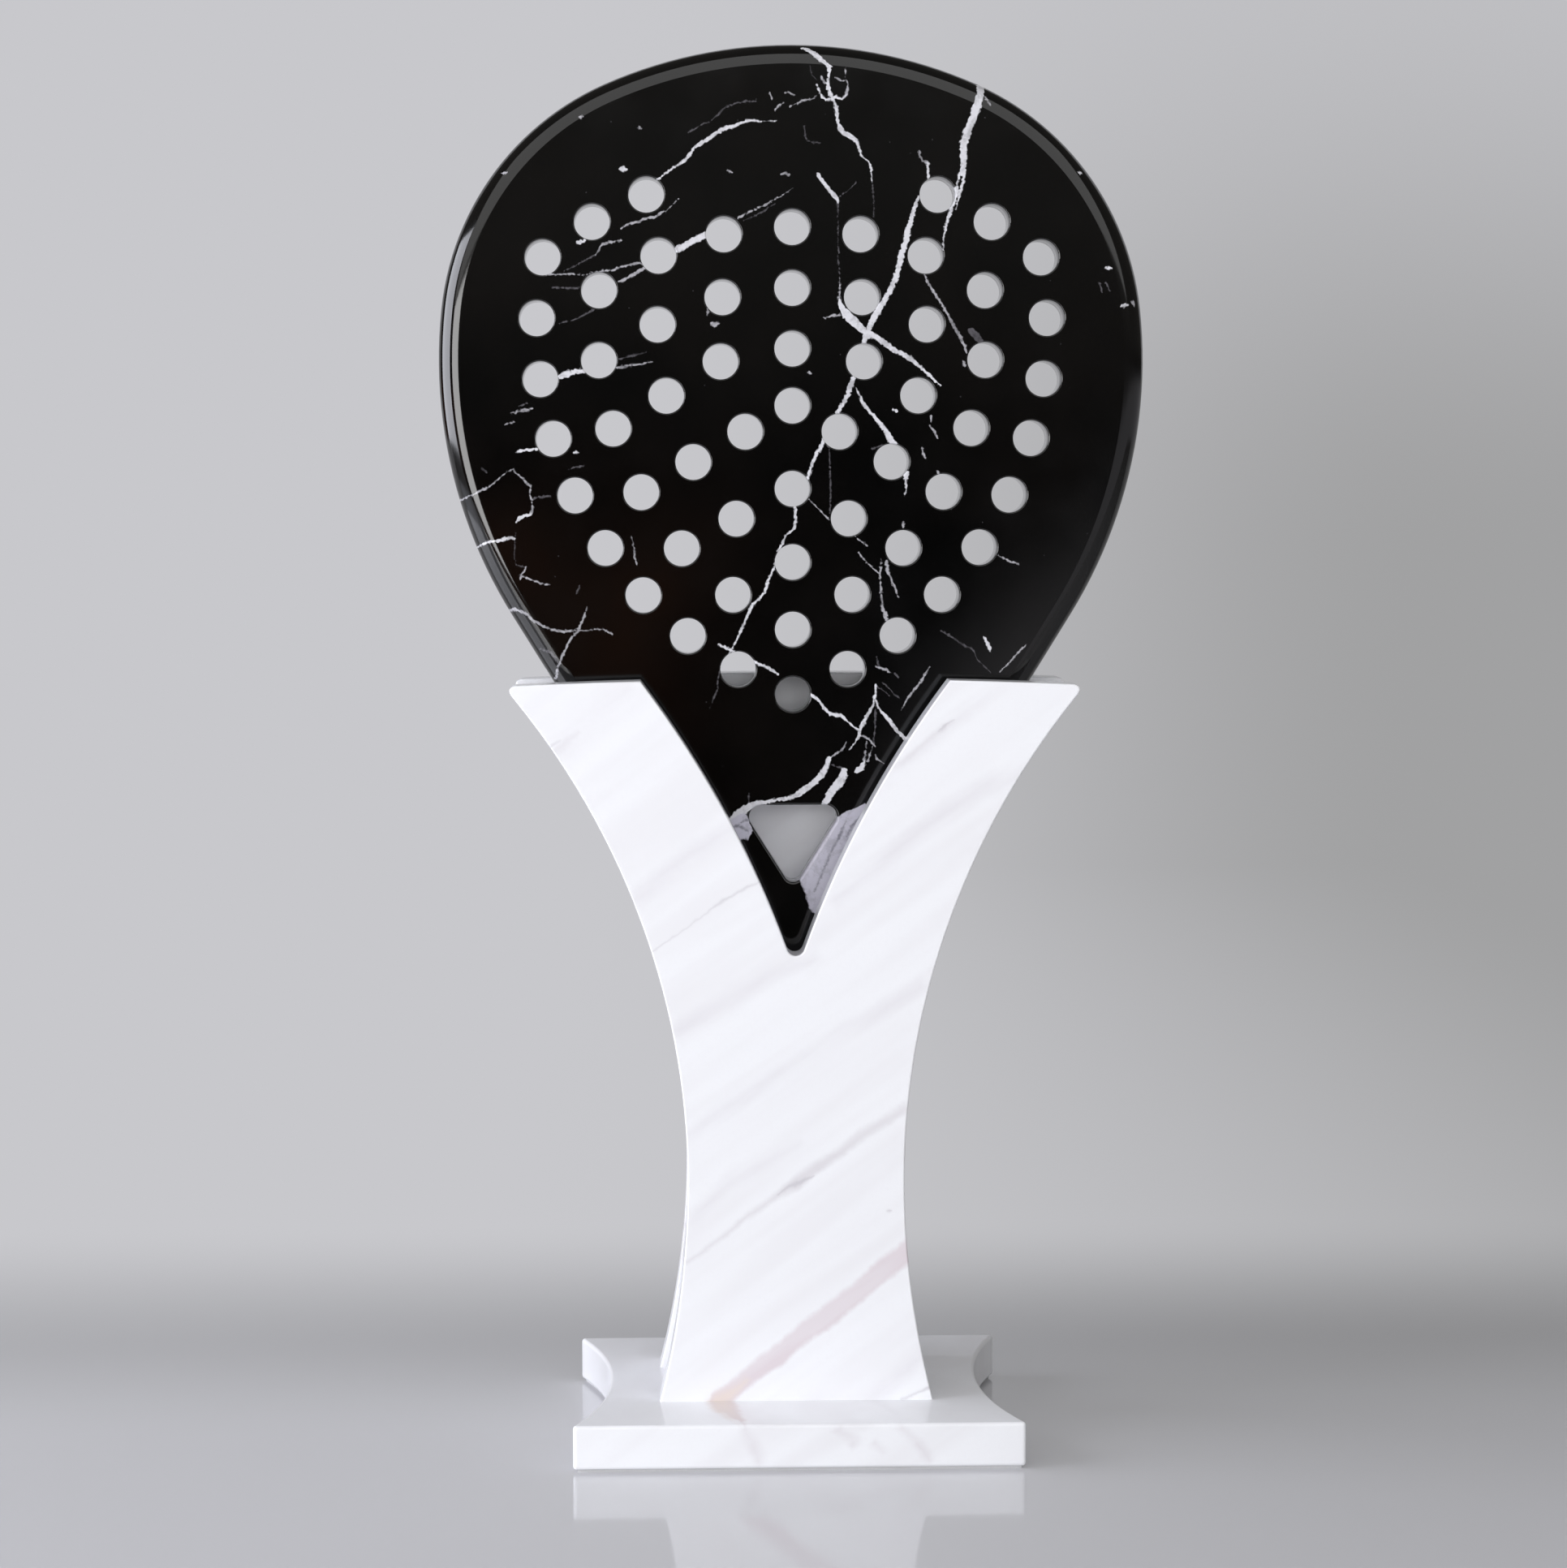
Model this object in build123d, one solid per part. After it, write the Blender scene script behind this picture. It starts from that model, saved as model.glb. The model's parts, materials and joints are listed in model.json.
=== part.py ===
from build123d import *
import os
from math import asin, atan2, cos, hypot, radians, sin, sqrt, tan

# Racket display stand: a life-size padel racket in black marble that stands
# in a white marble stand, two shaped upright panels on a concave plinth.
# Millimetres, +Z up, +X to the viewer's right, -Y towards the viewer.
# The origin is on the floor, under the middle of the stand.

# Plinth
base_width = 164.0
base_depth = 144.0
base_thickness = 16.0
base_flank_inset = 13.0
base_edge_bevel = 1.2

# Upright panels, heights taken from the top of the plinth
panel_thickness = 16.0
panel_tip_half_width = 106.0
panel_tip_height = 263.5
panel_arch_rise = 2.4
panel_tip_radius = 2.5
waist_half_width = 39.8
waist_height = 82.0
foot_half_width = 50.3
panel_edge_bevel = 0.8
slot_width = 40.0

# V notch in the front panel
notch_half_width = 56.3
notch_floor_height = 164.7
notch_bow = 4.75
notch_floor_radius = 3.3

# Block between the panels, and the felts
block_width = 72.0
block_height = 40.0
block_edge_bevel = 0.8
floor_felt_thickness = 1.0
floor_felt_margin = 1.5
seat_felt_thickness = 2.5
seat_felt_width = 50.0
liner_thickness = 1.0
liner_width = 44.0
liner_height = 104.0
felt_gap = 0.2

# Racket, heights taken from the butt of the handle
racket_length = 455.0
blade_thickness = 16.0
rim_radius = 7.6
crown_radius = 171.2
crown_angle = 23.8
shoulder_radius = 102.0
shoulder_angle = 59.8
side_radius = 177.6
side_angle = 38.1
throat_radius = 60.0
handle_width = 34.0
butt_radius = 9.5
running_clearance = 0.3

# Holes through the racket's face: rings of three arcs
hole_diameter = 13.2
ring_pitch = 22.2
crown_arc_height = 267.2
crown_arc_radius = 76.4
side_arc_offset = 50.0
side_arc_height = 351.2
side_arc_radius = 77.4
inner_ring_gap_counts = (2, 4, 6)
outer_ring_side_gap_count = 9
outer_ring_top_hole_count = 2
centre_hole_height = 322.7

# Rounded triangle in the throat
window_top_height = 175.0
window_tip_height = 143.2
window_top_half_width = 20.0
window_corner_radius = 4.5
window_tip_radius = 3.4

# Cheeks that thicken the handle
cheek_length = 102.0
cheek_round = 6.0
cheek_end_round = 3.0

# Pins, screws and inserts
pin_gap = 0.15
panel_pin_diameter = 8.0
panel_pin_spacing = 64.0
panel_pin_depth_in_base = 11.0
panel_pin_depth_in_panel = 29.0
cross_pin_diameter = 8.0
cross_pin_inset = 10.0
cross_pin_height = 24.0
cross_pin_depth_in_panel = 10.0
cheek_pin_diameter = 6.0
cheek_pin_depth_in_cheek = 6.5
cheek_pin_heights = (25.0, 76.0)
screw_diameter = 6.0
screw_head_diameter = 12.0
screw_length = 40.0
screw_spacing = 20.0
screw_recess = 1.5
screw_socket_width = 4.0
screw_socket_depth = 2.2
insert_diameter = 9.0
insert_length = 14.0
insert_bore_spare = 6.0

# Two places nearer than this are the same
same_place = 0.01

# Levels and places worked out from the sizes above
deck = floor_felt_thickness + base_thickness
seat = deck + block_height
butt = seat + seat_felt_thickness + running_clearance
panel_mid = (slot_width + panel_thickness) / 2
cheek_thickness = (slot_width - blade_thickness) / 2 - liner_thickness - running_clearance
cross_pin_spacing = panel_pin_spacing - 2 * cross_pin_inset
rings = len(inner_ring_gap_counts) + 1


def write(node, shape):
    export_step(shape, f"parts/{node}.step")


def cylinder_z(x, y, bottom, top, diameter):
    """An upright cylinder between two levels."""
    return Pos(x, y, bottom) * extrude(Circle(diameter / 2), top - bottom)


def cylinder_y(x, front, back, z, diameter):
    """A cylinder along Y from a front face to a back face."""
    return extrude(Plane((x, back, z), z_dir=(0, -1, 0)) * Circle(diameter / 2), back - front)


def pair(spacing):
    return (-spacing / 2, spacing / 2)


# Plinth

def plinth_plan():
    half_width = base_width / 2
    half_depth = base_depth / 2
    waist = half_width - base_flank_inset
    with BuildLine() as plan:
        Line((-half_width, -half_depth), (half_width, -half_depth))
        ThreePointArc((half_width, -half_depth), (waist, 0), (half_width, half_depth))
        Line((half_width, half_depth), (-half_width, half_depth))
        ThreePointArc((-half_width, half_depth), (-waist, 0), (-half_width, -half_depth))
    return plan.line


def base_plinth():
    slab = Pos(0, 0, floor_felt_thickness) * extrude(make_face(plinth_plan()), base_thickness)
    rims = slab.faces().sort_by(Axis.Z)[0].edges() + slab.faces().sort_by(Axis.Z)[-1].edges()
    slab = chamfer(rims, base_edge_bevel)
    for x in pair(panel_pin_spacing):
        for y in (-panel_mid, panel_mid):
            floor = deck - panel_pin_depth_in_base - pin_gap
            slab -= cylinder_z(x, y, floor, deck, panel_pin_diameter + 2 * pin_gap)
    for x in pair(screw_spacing):
        slab -= screw_hole(x)
    return slab


def screw_hole(x):
    """Clearance hole through the plinth, countersunk from beneath."""
    bore = cylinder_z(x, 0, floor_felt_thickness, deck, screw_diameter + 2 * running_clearance)
    mouth = screw_head_diameter / 2 + running_clearance
    neck = screw_diameter / 2 + running_clearance
    head_face = floor_felt_thickness + screw_recess
    recess = cylinder_z(x, 0, floor_felt_thickness, head_face, 2 * mouth)
    sink = Pos(x, 0, head_face + (mouth - neck) / 2) * Cone(mouth, neck, mouth - neck)
    return bore + recess + sink


def floor_felt():
    felt = extrude(offset(make_face(plinth_plan()), -floor_felt_margin, kind=Kind.INTERSECTION),
                   floor_felt_thickness)
    return felt


# Panels

def panel_outline():
    """Half outline mirrored: flanks of two arcs that meet at the waist, and a low arched top."""
    tip = (panel_tip_half_width, deck + panel_tip_height)
    waist = (waist_half_width, deck + waist_height)
    foot = (foot_half_width, deck)
    crown = (0, deck + panel_tip_height + panel_arch_rise)
    with BuildLine() as half:
        Line((0, deck), foot)
        TangentArc(waist, foot, tangent=(0, -1))
        TangentArc(waist, tip, tangent=(0, 1))
        ThreePointArc(tip, arch_point(tip[0] / 2), crown)
        mirror(about=Plane.YZ)
    return half.line


def arch_point(x):
    """A point on the arc along the top of the panels."""
    radius = (panel_tip_half_width ** 2 + panel_arch_rise ** 2) / (2 * panel_arch_rise)
    return (x, deck + panel_tip_height + panel_arch_rise - radius + sqrt(radius ** 2 - x ** 2))


def notch_outline():
    """V with edges bowed inwards and a small round floor, open at the top."""
    top = arch_point(notch_half_width)
    floor = deck + notch_floor_height
    chord = hypot(top[0], top[1] - floor)
    bow_radius = (chord ** 2 / 4 + notch_bow ** 2) / (2 * notch_bow)
    lean = atan2(top[0], top[1] - floor) - asin(chord / 2 / bow_radius)
    centre = floor + notch_floor_radius
    side = (notch_floor_radius * cos(lean), centre - notch_floor_radius * sin(lean))
    halfway = (radians(90) - lean) / 2
    floor_point = (notch_floor_radius * sin(halfway), centre - notch_floor_radius * cos(halfway))
    above = top[1] + 3 * panel_arch_rise
    with BuildLine() as half:
        TangentArc(side, top, tangent=(sin(lean), cos(lean)))
        Line(top, (top[0], above))
        Line((top[0], above), (0, above))
        ThreePointArc(side, floor_point, (0, floor))
        mirror(about=Plane.YZ)
    return half.line


def panel(front_face, notched):
    """Slab of the panel outline; front_face is the Y of its viewer side."""
    back_face = front_face + panel_thickness
    plane = Plane((0, back_face, 0), x_dir=(1, 0, 0), z_dir=(0, -1, 0))
    face = make_face(panel_outline())
    tips = face.vertices().sort_by(Axis.Y)
    face = fillet([v for v in tips if abs(abs(v.X) - panel_tip_half_width) < same_place], panel_tip_radius)
    if notched:
        face -= make_face(notch_outline())
    slab = extrude(plane * face, panel_thickness)
    rims = [e for e in slab.edges() if on_panel_rim(e, front_face, back_face)]
    slab = chamfer(rims, panel_edge_bevel)
    for x in pair(panel_pin_spacing):
        top = deck + panel_pin_depth_in_panel + pin_gap
        slab -= cylinder_z(x, (front_face + back_face) / 2, deck, top, panel_pin_diameter + 2 * pin_gap)
    return slab


def on_panel_rim(edge, front_face, back_face):
    """True for the edges round both faces, but not for those on the plinth."""
    centre = edge.center()
    on_face = min(abs(centre.Y - front_face), abs(centre.Y - back_face)) < same_place
    return on_face and centre.Z > deck + same_place


def cross_pin_bores(front, back):
    """Bores of the cross pins between two Y faces."""
    bores = []
    for x in pair(cross_pin_spacing):
        bores.append(cylinder_y(x, front, back, deck + cross_pin_height, cross_pin_diameter + 2 * pin_gap))
    return bores


def front_panel():
    inner = -slot_width / 2
    slab = panel(inner - panel_thickness, True)
    for bore in cross_pin_bores(inner - cross_pin_depth_in_panel - pin_gap, inner):
        slab -= bore
    return slab


def rear_panel():
    inner = slot_width / 2
    slab = panel(inner, False)
    for bore in cross_pin_bores(inner, inner + cross_pin_depth_in_panel + pin_gap):
        slab -= bore
    return slab


# Block, pins and screws

def spacer_block():
    block = Pos(0, 0, deck + block_height / 2) * Box(block_width, slot_width, block_height)
    block = chamfer(block.edges().filter_by(Axis.Y).group_by(Axis.Z)[-1], block_edge_bevel)
    for bore in cross_pin_bores(-slot_width / 2, slot_width / 2):
        block -= bore
    for x in pair(screw_spacing):
        block -= cylinder_z(x, 0, deck, deck + insert_length + pin_gap, insert_diameter + 2 * pin_gap)
        block -= cylinder_z(x, 0, deck, screw_tip() + insert_bore_spare,
                            screw_diameter + 2 * running_clearance)
    return block


def panel_pins():
    pins = []
    for x in pair(panel_pin_spacing):
        for y in (-panel_mid, panel_mid):
            pins.append(cylinder_z(x, y, deck - panel_pin_depth_in_base, deck + panel_pin_depth_in_panel,
                                   panel_pin_diameter))
    return Compound(children=pins)


def cross_pins():
    reach = slot_width / 2 + cross_pin_depth_in_panel
    pins = []
    for x in pair(cross_pin_spacing):
        pins.append(cylinder_y(x, -reach, reach, deck + cross_pin_height, cross_pin_diameter))
    return Compound(children=pins)


def screw_tip():
    return floor_felt_thickness + screw_recess + screw_length


def anchor_screws():
    """Countersunk screws with a hexagon socket, heads down."""
    screws = []
    head_height = (screw_head_diameter - screw_diameter) / 2
    head_face = floor_felt_thickness + screw_recess
    for x in pair(screw_spacing):
        screw = cylinder_z(x, 0, head_face, screw_tip(), screw_diameter)
        screw += Pos(x, 0, head_face + head_height / 2) * Cone(screw_head_diameter / 2, screw_diameter / 2,
                                                              head_height)
        socket = RegularPolygon(screw_socket_width / 2, 6, major_radius=False)
        screw -= Pos(x, 0, head_face) * extrude(socket, screw_socket_depth)
        screws.append(screw)
    return Compound(children=screws)


def threaded_inserts():
    inserts = []
    for x in pair(screw_spacing):
        sleeve = cylinder_z(x, 0, deck, deck + insert_length, insert_diameter)
        sleeve -= cylinder_z(x, 0, deck, deck + insert_length, screw_diameter + 2 * pin_gap)
        inserts.append(sleeve)
    return Compound(children=inserts)


# Felts of the slot

def seat_felt():
    width = slot_width - 2 * (liner_thickness + felt_gap)
    return Pos(0, 0, seat + seat_felt_thickness / 2) * Box(seat_felt_width, width, seat_felt_thickness)


def slot_liner(side):
    """Felt on the inner face of a panel, side -1 in front and +1 at the back."""
    y = side * (slot_width - liner_thickness) / 2
    return Pos(0, y, seat + liner_height / 2) * Box(liner_width, liner_thickness, liner_height)


# Racket

def racket_outline():
    """Crown, shoulder and side arcs, a straight taper to the throat, and the handle."""
    half_handle = handle_width / 2
    lean = radians(crown_angle + shoulder_angle + side_angle - 90)
    with BuildLine() as half:
        crown = JernArc((0, racket_length), (1, 0), crown_radius, -crown_angle)
        shoulder = JernArc(crown @ 1, crown % 1, shoulder_radius, -shoulder_angle)
        flank = JernArc(shoulder @ 1, shoulder % 1, side_radius, -side_angle)
        end = flank @ 1
        corner = (half_handle, end.Y - (end.X - half_handle) / tan(lean))
        FilletPolyline(end, corner, (half_handle, 0), (0, 0), radius=[throat_radius, butt_radius])
        mirror(about=Plane.YZ)
    return half.line


def ring_corner(crown_radius_here, side_radius_here):
    """Where the crown arc of a ring meets its right side arc."""
    dx = side_arc_offset
    dz = side_arc_height - crown_arc_height
    apart = hypot(dx, dz)
    along = (crown_radius_here ** 2 - side_radius_here ** 2 + apart ** 2) / (2 * apart)
    across = sqrt(crown_radius_here ** 2 - along ** 2)
    return ((-dx * along + dz * across) / apart, crown_arc_height + (dz * along + dx * across) / apart)


def ring_holes(ring):
    """Right-hand hole centres of one ring, from the crown to the bottom, on the axis too."""
    crown_arc = crown_arc_radius + (ring - 1) * ring_pitch
    side_arc = side_arc_radius + (ring - 1) * ring_pitch
    corner = ring_corner(crown_arc, side_arc)
    bottom = side_arc_height - sqrt(side_arc ** 2 - side_arc_offset ** 2)
    start = atan2(corner[1] - side_arc_height, corner[0] + side_arc_offset)
    end = atan2(bottom - side_arc_height, side_arc_offset)
    corner_angle = atan2(corner[0], corner[1] - crown_arc_height)
    if ring < rings:
        side_gaps = inner_ring_gap_counts[ring - 1]
        top_gaps = side_gaps // 2
        tops = [corner_angle * i / top_gaps for i in range(top_gaps)]
    else:
        side_gaps = outer_ring_side_gap_count
        step = (start - end) * side_arc / side_gaps / crown_arc
        tops = [corner_angle - step * i for i in range(outer_ring_top_hole_count, 0, -1)]
    centres = [(crown_arc * sin(a), crown_arc_height + crown_arc * cos(a)) for a in tops]
    for i in range(side_gaps + 1):
        angle = start + (end - start) * i / side_gaps
        centres.append((side_arc * cos(angle) - side_arc_offset, side_arc_height + side_arc * sin(angle)))
    return centres


def hole_centres():
    centres = [(0, centre_hole_height)]
    for ring in range(1, rings + 1):
        for x, z in ring_holes(ring):
            if abs(x) < hole_diameter / 4:
                centres.append((0, z))
            else:
                centres += [(x, z), (-x, z)]
    return centres


def throat_window():
    """Rounded triangle, point down."""
    with BuildLine() as line:
        FilletPolyline((window_top_half_width, window_top_height), (0, window_tip_height),
                       (-window_top_half_width, window_top_height),
                       radius=[window_corner_radius, window_tip_radius, window_corner_radius], close=True)
    return make_face(line.line)


def racket_blade():
    """Slab with a full round rim; below, square sides where the cheeks are bonded on."""
    plane = Plane((0, blade_thickness / 2, butt), x_dir=(1, 0, 0), z_dir=(0, -1, 0))
    slab = extrude(plane * make_face(racket_outline()), blade_thickness)
    slab = fillet(slab.edges().filter_by(Plane.XZ), rim_radius)
    slab += Pos(0, 0, butt + cheek_length / 2) * Box(handle_width, blade_thickness, cheek_length)
    cuts = [Pos(x, z) * Circle(hole_diameter / 2) for x, z in hole_centres()]
    cuts.append(throat_window())
    slab -= extrude(plane * Sketch(children=cuts), blade_thickness)
    for z in cheek_pin_heights:
        slab -= cylinder_y(0, -blade_thickness / 2, blade_thickness / 2, butt + z,
                           cheek_pin_diameter + 2 * pin_gap)
    return slab


def handle_cheek(side):
    """Bonded to the blade, side -1 in front and +1 at the back, rounded outside."""
    y = side * (blade_thickness + cheek_thickness) / 2
    cheek = Pos(0, y, butt + cheek_length / 2) * Box(handle_width, cheek_thickness, cheek_length)
    outer = cheek.faces().sort_by(Axis.Y)[-1 if side > 0 else 0]
    cheek = fillet(outer.edges().filter_by(Axis.Z), cheek_round)
    outer = cheek.faces().sort_by(Axis.Y)[-1 if side > 0 else 0]
    cheek = chamfer(outer.edges().filter_by(Axis.X), cheek_end_round)
    face = side * blade_thickness / 2
    depth = side * (blade_thickness / 2 + cheek_pin_depth_in_cheek + pin_gap)
    for z in cheek_pin_heights:
        cheek -= cylinder_y(0, min(face, depth), max(face, depth), butt + z, cheek_pin_diameter + 2 * pin_gap)
    return cheek


def cheek_pins():
    reach = blade_thickness / 2 + cheek_pin_depth_in_cheek
    pins = [cylinder_y(0, -reach, reach, butt + z, cheek_pin_diameter) for z in cheek_pin_heights]
    return Compound(children=pins)


os.makedirs("parts", exist_ok=True)
write("base_plinth", base_plinth())
write("floor_felt", floor_felt())
write("front_panel", front_panel())
write("rear_panel", rear_panel())
write("spacer_block", spacer_block())
write("panel_pins", panel_pins())
write("cross_pins", cross_pins())
write("anchor_screws", anchor_screws())
write("threaded_inserts", threaded_inserts())
write("seat_felt", seat_felt())
write("front_slot_liner", slot_liner(-1))
write("rear_slot_liner", slot_liner(1))
write("racket_blade", racket_blade())
write("front_handle_cheek", handle_cheek(-1))
write("rear_handle_cheek", handle_cheek(1))
write("handle_pins", cheek_pins())
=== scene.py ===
import json
from math import acos, asin, atan2, ceil, cos, degrees, hypot, pi, radians, sin, tan

import bmesh
import bpy
from mathutils import Euler, Matrix, Vector


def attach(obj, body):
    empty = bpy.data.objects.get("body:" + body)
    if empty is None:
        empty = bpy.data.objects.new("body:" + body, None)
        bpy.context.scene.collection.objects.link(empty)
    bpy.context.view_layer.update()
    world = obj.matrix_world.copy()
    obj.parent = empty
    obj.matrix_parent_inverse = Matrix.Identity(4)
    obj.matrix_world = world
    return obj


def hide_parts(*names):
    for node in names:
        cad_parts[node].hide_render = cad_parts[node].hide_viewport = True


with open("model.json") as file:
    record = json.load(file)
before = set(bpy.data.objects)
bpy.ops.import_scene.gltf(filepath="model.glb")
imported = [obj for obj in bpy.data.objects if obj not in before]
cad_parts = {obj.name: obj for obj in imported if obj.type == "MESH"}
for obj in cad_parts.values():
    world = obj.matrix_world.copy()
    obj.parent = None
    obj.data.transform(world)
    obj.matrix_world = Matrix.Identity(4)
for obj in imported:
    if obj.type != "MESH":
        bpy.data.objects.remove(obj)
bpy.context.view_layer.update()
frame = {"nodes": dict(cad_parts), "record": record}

# Racket display stand: a padel racket of polished black marble in a white marble stand.
# Sizes are in millimetres, and MM turns them into Blender's metres.
MM = 0.001

# Stand
BASE_WIDTH = 164.0
BASE_DEPTH = 144.0
BASE_THICKNESS = 16.0
BASE_FLANK_INSET = 13.0
BASE_EDGE_ROUND = 1.2
BASE_CORNER_RADIUS = 1.5
FELT_THICKNESS = 1.0
PANEL_THICKNESS = 16.0
PANEL_TIP_HALF_WIDTH = 106.0
PANEL_TIP_HEIGHT = 263.5
PANEL_ARCH_RISE = 2.4
PANEL_TIP_RADIUS = 2.5
PANEL_EDGE_ROUND = 0.6
WAIST_HALF_WIDTH = 39.8
WAIST_HEIGHT = 82.0
FOOT_HALF_WIDTH = 50.3
SLOT_WIDTH = 40.0
NOTCH_HALF_WIDTH = 56.3
NOTCH_FLOOR_HEIGHT = 164.7
NOTCH_FLOOR_RADIUS = 3.3
NOTCH_BOW = 4.75
DECK = FELT_THICKNESS + BASE_THICKNESS

# Racket, heights from its butt
BUTT = 59.8
RACKET_LENGTH = 455.0
BLADE_THICKNESS = 16.0
RIM_RADIUS = 7.6
# Arcs of its outline downwards from the top: radius, and turn in degrees
CROWN = (171.2, 23.8)
SHOULDER = (102.0, 59.8)
SIDE = (177.6, 38.1)
THROAT_RADIUS = 60.0
HANDLE_WIDTH = 34.0
CHEEK_LENGTH = 102.0
LET_INTO_HANDLE = 12.0
HOLE_DIAMETER = 13.2
HOLE_EDGE_ROUND = 0.45
RING_PITCH = 22.2
# A ring of holes is a crown arc between two side arcs. Of the innermost ring: the crown arc's
# centre height and radius, and the side arcs' offset across the middle, centre height and radius
CROWN_ARC = (267.2, 76.4)
SIDE_ARC = (50.0, 351.2, 77.4)
# Spaces between holes along one side arc, ring by ring
INNER_RING_GAPS = (2, 4, 6)
OUTER_RING_SIDE_GAPS = 9
OUTER_RING_TOP_HOLES = 2
CENTRE_HOLE_HEIGHT = 322.7
WINDOW_TOP_HEIGHT = 175.0
WINDOW_TIP_HEIGHT = 143.2
WINDOW_HALF_WIDTH = 20.0
WINDOW_CORNER_RADIUS = 4.5
WINDOW_TIP_RADIUS = 3.4
WINDOW_EDGE_ROUND = 0.8

# How finely curves are divided
SAGITTA = 0.02
RIM_SEGMENTS = 9
EASED_SEGMENTS = 3
CORNER_SEGMENTS = 8
HOLE_SEGMENTS = 36
SHARPEST_ROLL = radians(40)
# A face that looks this nearly along y lies in a flat cap
CAP_FACING = 0.9999
# A narrow strip of wall beside a rolled edge keeps the rest of the wall evenly shaded
WALL_STRIP = 0.3
# Points this close are one, and a corner is found this close to its place
TOUCHING = 1e-3
NEAR_CORNER = 1e-2

# Camera, as fitted to the photograph
CAMERA_PLACE = Vector((-45.2, -1385.5, 343.6)) * MM
CAMERA_TURN = Euler((radians(85.81), radians(0.11), radians(-1.74)))
FOCAL_LENGTH_PX = 4586.0
IMAGE_WIDTH_PX = 1931.0
IMAGE_CENTRE_PX = (965.5, 966.0)
SENSOR_WIDTH = 36.0

# In the photograph the racket leans a little in its slot, about this point
RACKET_LEAN = radians(0.66)
LEAN_PIVOT = Vector((0.3, 0.0, 301.0)) * MM
FRONT_OF_RACKET = -BLADE_THICKNESS / 2 * MM
FRONT_OF_PANEL = -(SLOT_WIDTH / 2 + PANEL_THICKNESS) * MM


# Drawing outlines

def chord_steps(radius, turn):
    finest = 2 * degrees(acos(1 - SAGITTA / radius))
    return max(2, ceil(abs(turn) / finest))


def trace(bm, start, heading, strokes):
    """Draws a line of arcs and straights in the XZ plane. A stroke is (length,) or
    (radius, turn), turns are degrees clockwise, and a radius of 0 is a sharp corner."""
    pen = bm.verts.new((start[0], 0, start[1]))
    for stroke in strokes:
        if len(stroke) == 1:
            moved = bmesh.ops.extrude_vert_indiv(bm, verts=[pen])["verts"]
            step = Vector((cos(radians(heading)), 0, -sin(radians(heading)))) * stroke[0]
            bmesh.ops.translate(bm, verts=moved, vec=step)
            pen = moved[0]
            continue
        radius, turn = stroke
        if radius:
            inward = Vector((-sin(radians(heading)), 0, -cos(radians(heading))))
            centre = pen.co + inward * (radius if turn > 0 else -radius)
            swept = bmesh.ops.spin(bm, geom=[pen], cent=centre, axis=(0, 1, 0), angle=radians(turn),
                                   steps=chord_steps(radius, turn))
            pen = next(v for v in swept["geom_last"] if isinstance(v, bmesh.types.BMVert))
        heading += turn
    return pen


def bend(start, heading, end):
    """The stroke of the arc that leaves start at this heading and reaches end."""
    dx = end[0] - start[0]
    dz = end[1] - start[1]
    swing = (degrees(atan2(-dz, dx)) - heading + 180) % 360 - 180
    return (hypot(dx, dz) / (2 * abs(sin(radians(swing)))), 2 * swing)


def mirrored_face(bm):
    """Mirrors a half outline across X and fills it with one face that looks to the viewer."""
    bmesh.ops.mirror(bm, geom=bm.verts[:] + bm.edges[:], axis='X', merge_dist=TOUCHING)
    face = bmesh.ops.edgeloop_fill(bm, edges=bm.edges[:])["faces"][0]
    face.normal_update()
    if face.normal.y > 0:
        face.normal_flip()
    return face


def racket_outline(bm):
    """Right half of the racket's outline, from the crown to just inside the handle's core."""
    side_end = trace(bm, (0, BUTT + RACKET_LENGTH), 0, [CROWN, SHOULDER, SIDE])
    lean = radians(CROWN[1] + SHOULDER[1] + SIDE[1] - 90)
    run = (side_end.co.x - HANDLE_WIDTH / 2) / sin(lean)
    fillet = THROAT_RADIUS * tan(lean / 2)
    tail = trace(bm, (side_end.co.x, side_end.co.z), 90 + degrees(lean),
                 [(run - fillet,), (THROAT_RADIUS, -degrees(lean)), (LET_INTO_HANDLE,), (0, 90),
                  (HANDLE_WIDTH / 2,)])
    tail.co.x = 0
    bmesh.ops.remove_doubles(bm, verts=bm.verts[:], dist=TOUCHING)


def window_outline(bm):
    """Right half of the rounded triangle in the throat, drawn larger by its edge's rounding."""
    rise = WINDOW_TOP_HEIGHT - WINDOW_TIP_HEIGHT
    corner = atan2(rise, WINDOW_HALF_WIDTH)
    cut_corner = WINDOW_CORNER_RADIUS / tan(corner / 2)
    cut_tip = WINDOW_TIP_RADIUS * tan(corner)
    side = hypot(WINDOW_HALF_WIDTH, rise)
    end = trace(bm, (0, BUTT + WINDOW_TOP_HEIGHT + WINDOW_EDGE_ROUND), 0,
                [(WINDOW_HALF_WIDTH - cut_corner,),
                 (WINDOW_CORNER_RADIUS + WINDOW_EDGE_ROUND, 180 - degrees(corner)),
                 (side - cut_corner - cut_tip,),
                 (WINDOW_TIP_RADIUS + WINDOW_EDGE_ROUND, degrees(corner))])
    end.co.x = 0


def arch_radius():
    return (PANEL_TIP_HALF_WIDTH ** 2 + PANEL_ARCH_RISE ** 2) / (2 * PANEL_ARCH_RISE)


def arch_height(x):
    """Level of the panels' top edge at a distance from the middle."""
    return DECK + PANEL_TIP_HEIGHT + PANEL_ARCH_RISE - arch_radius() + (arch_radius() ** 2 - x ** 2) ** 0.5


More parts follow.
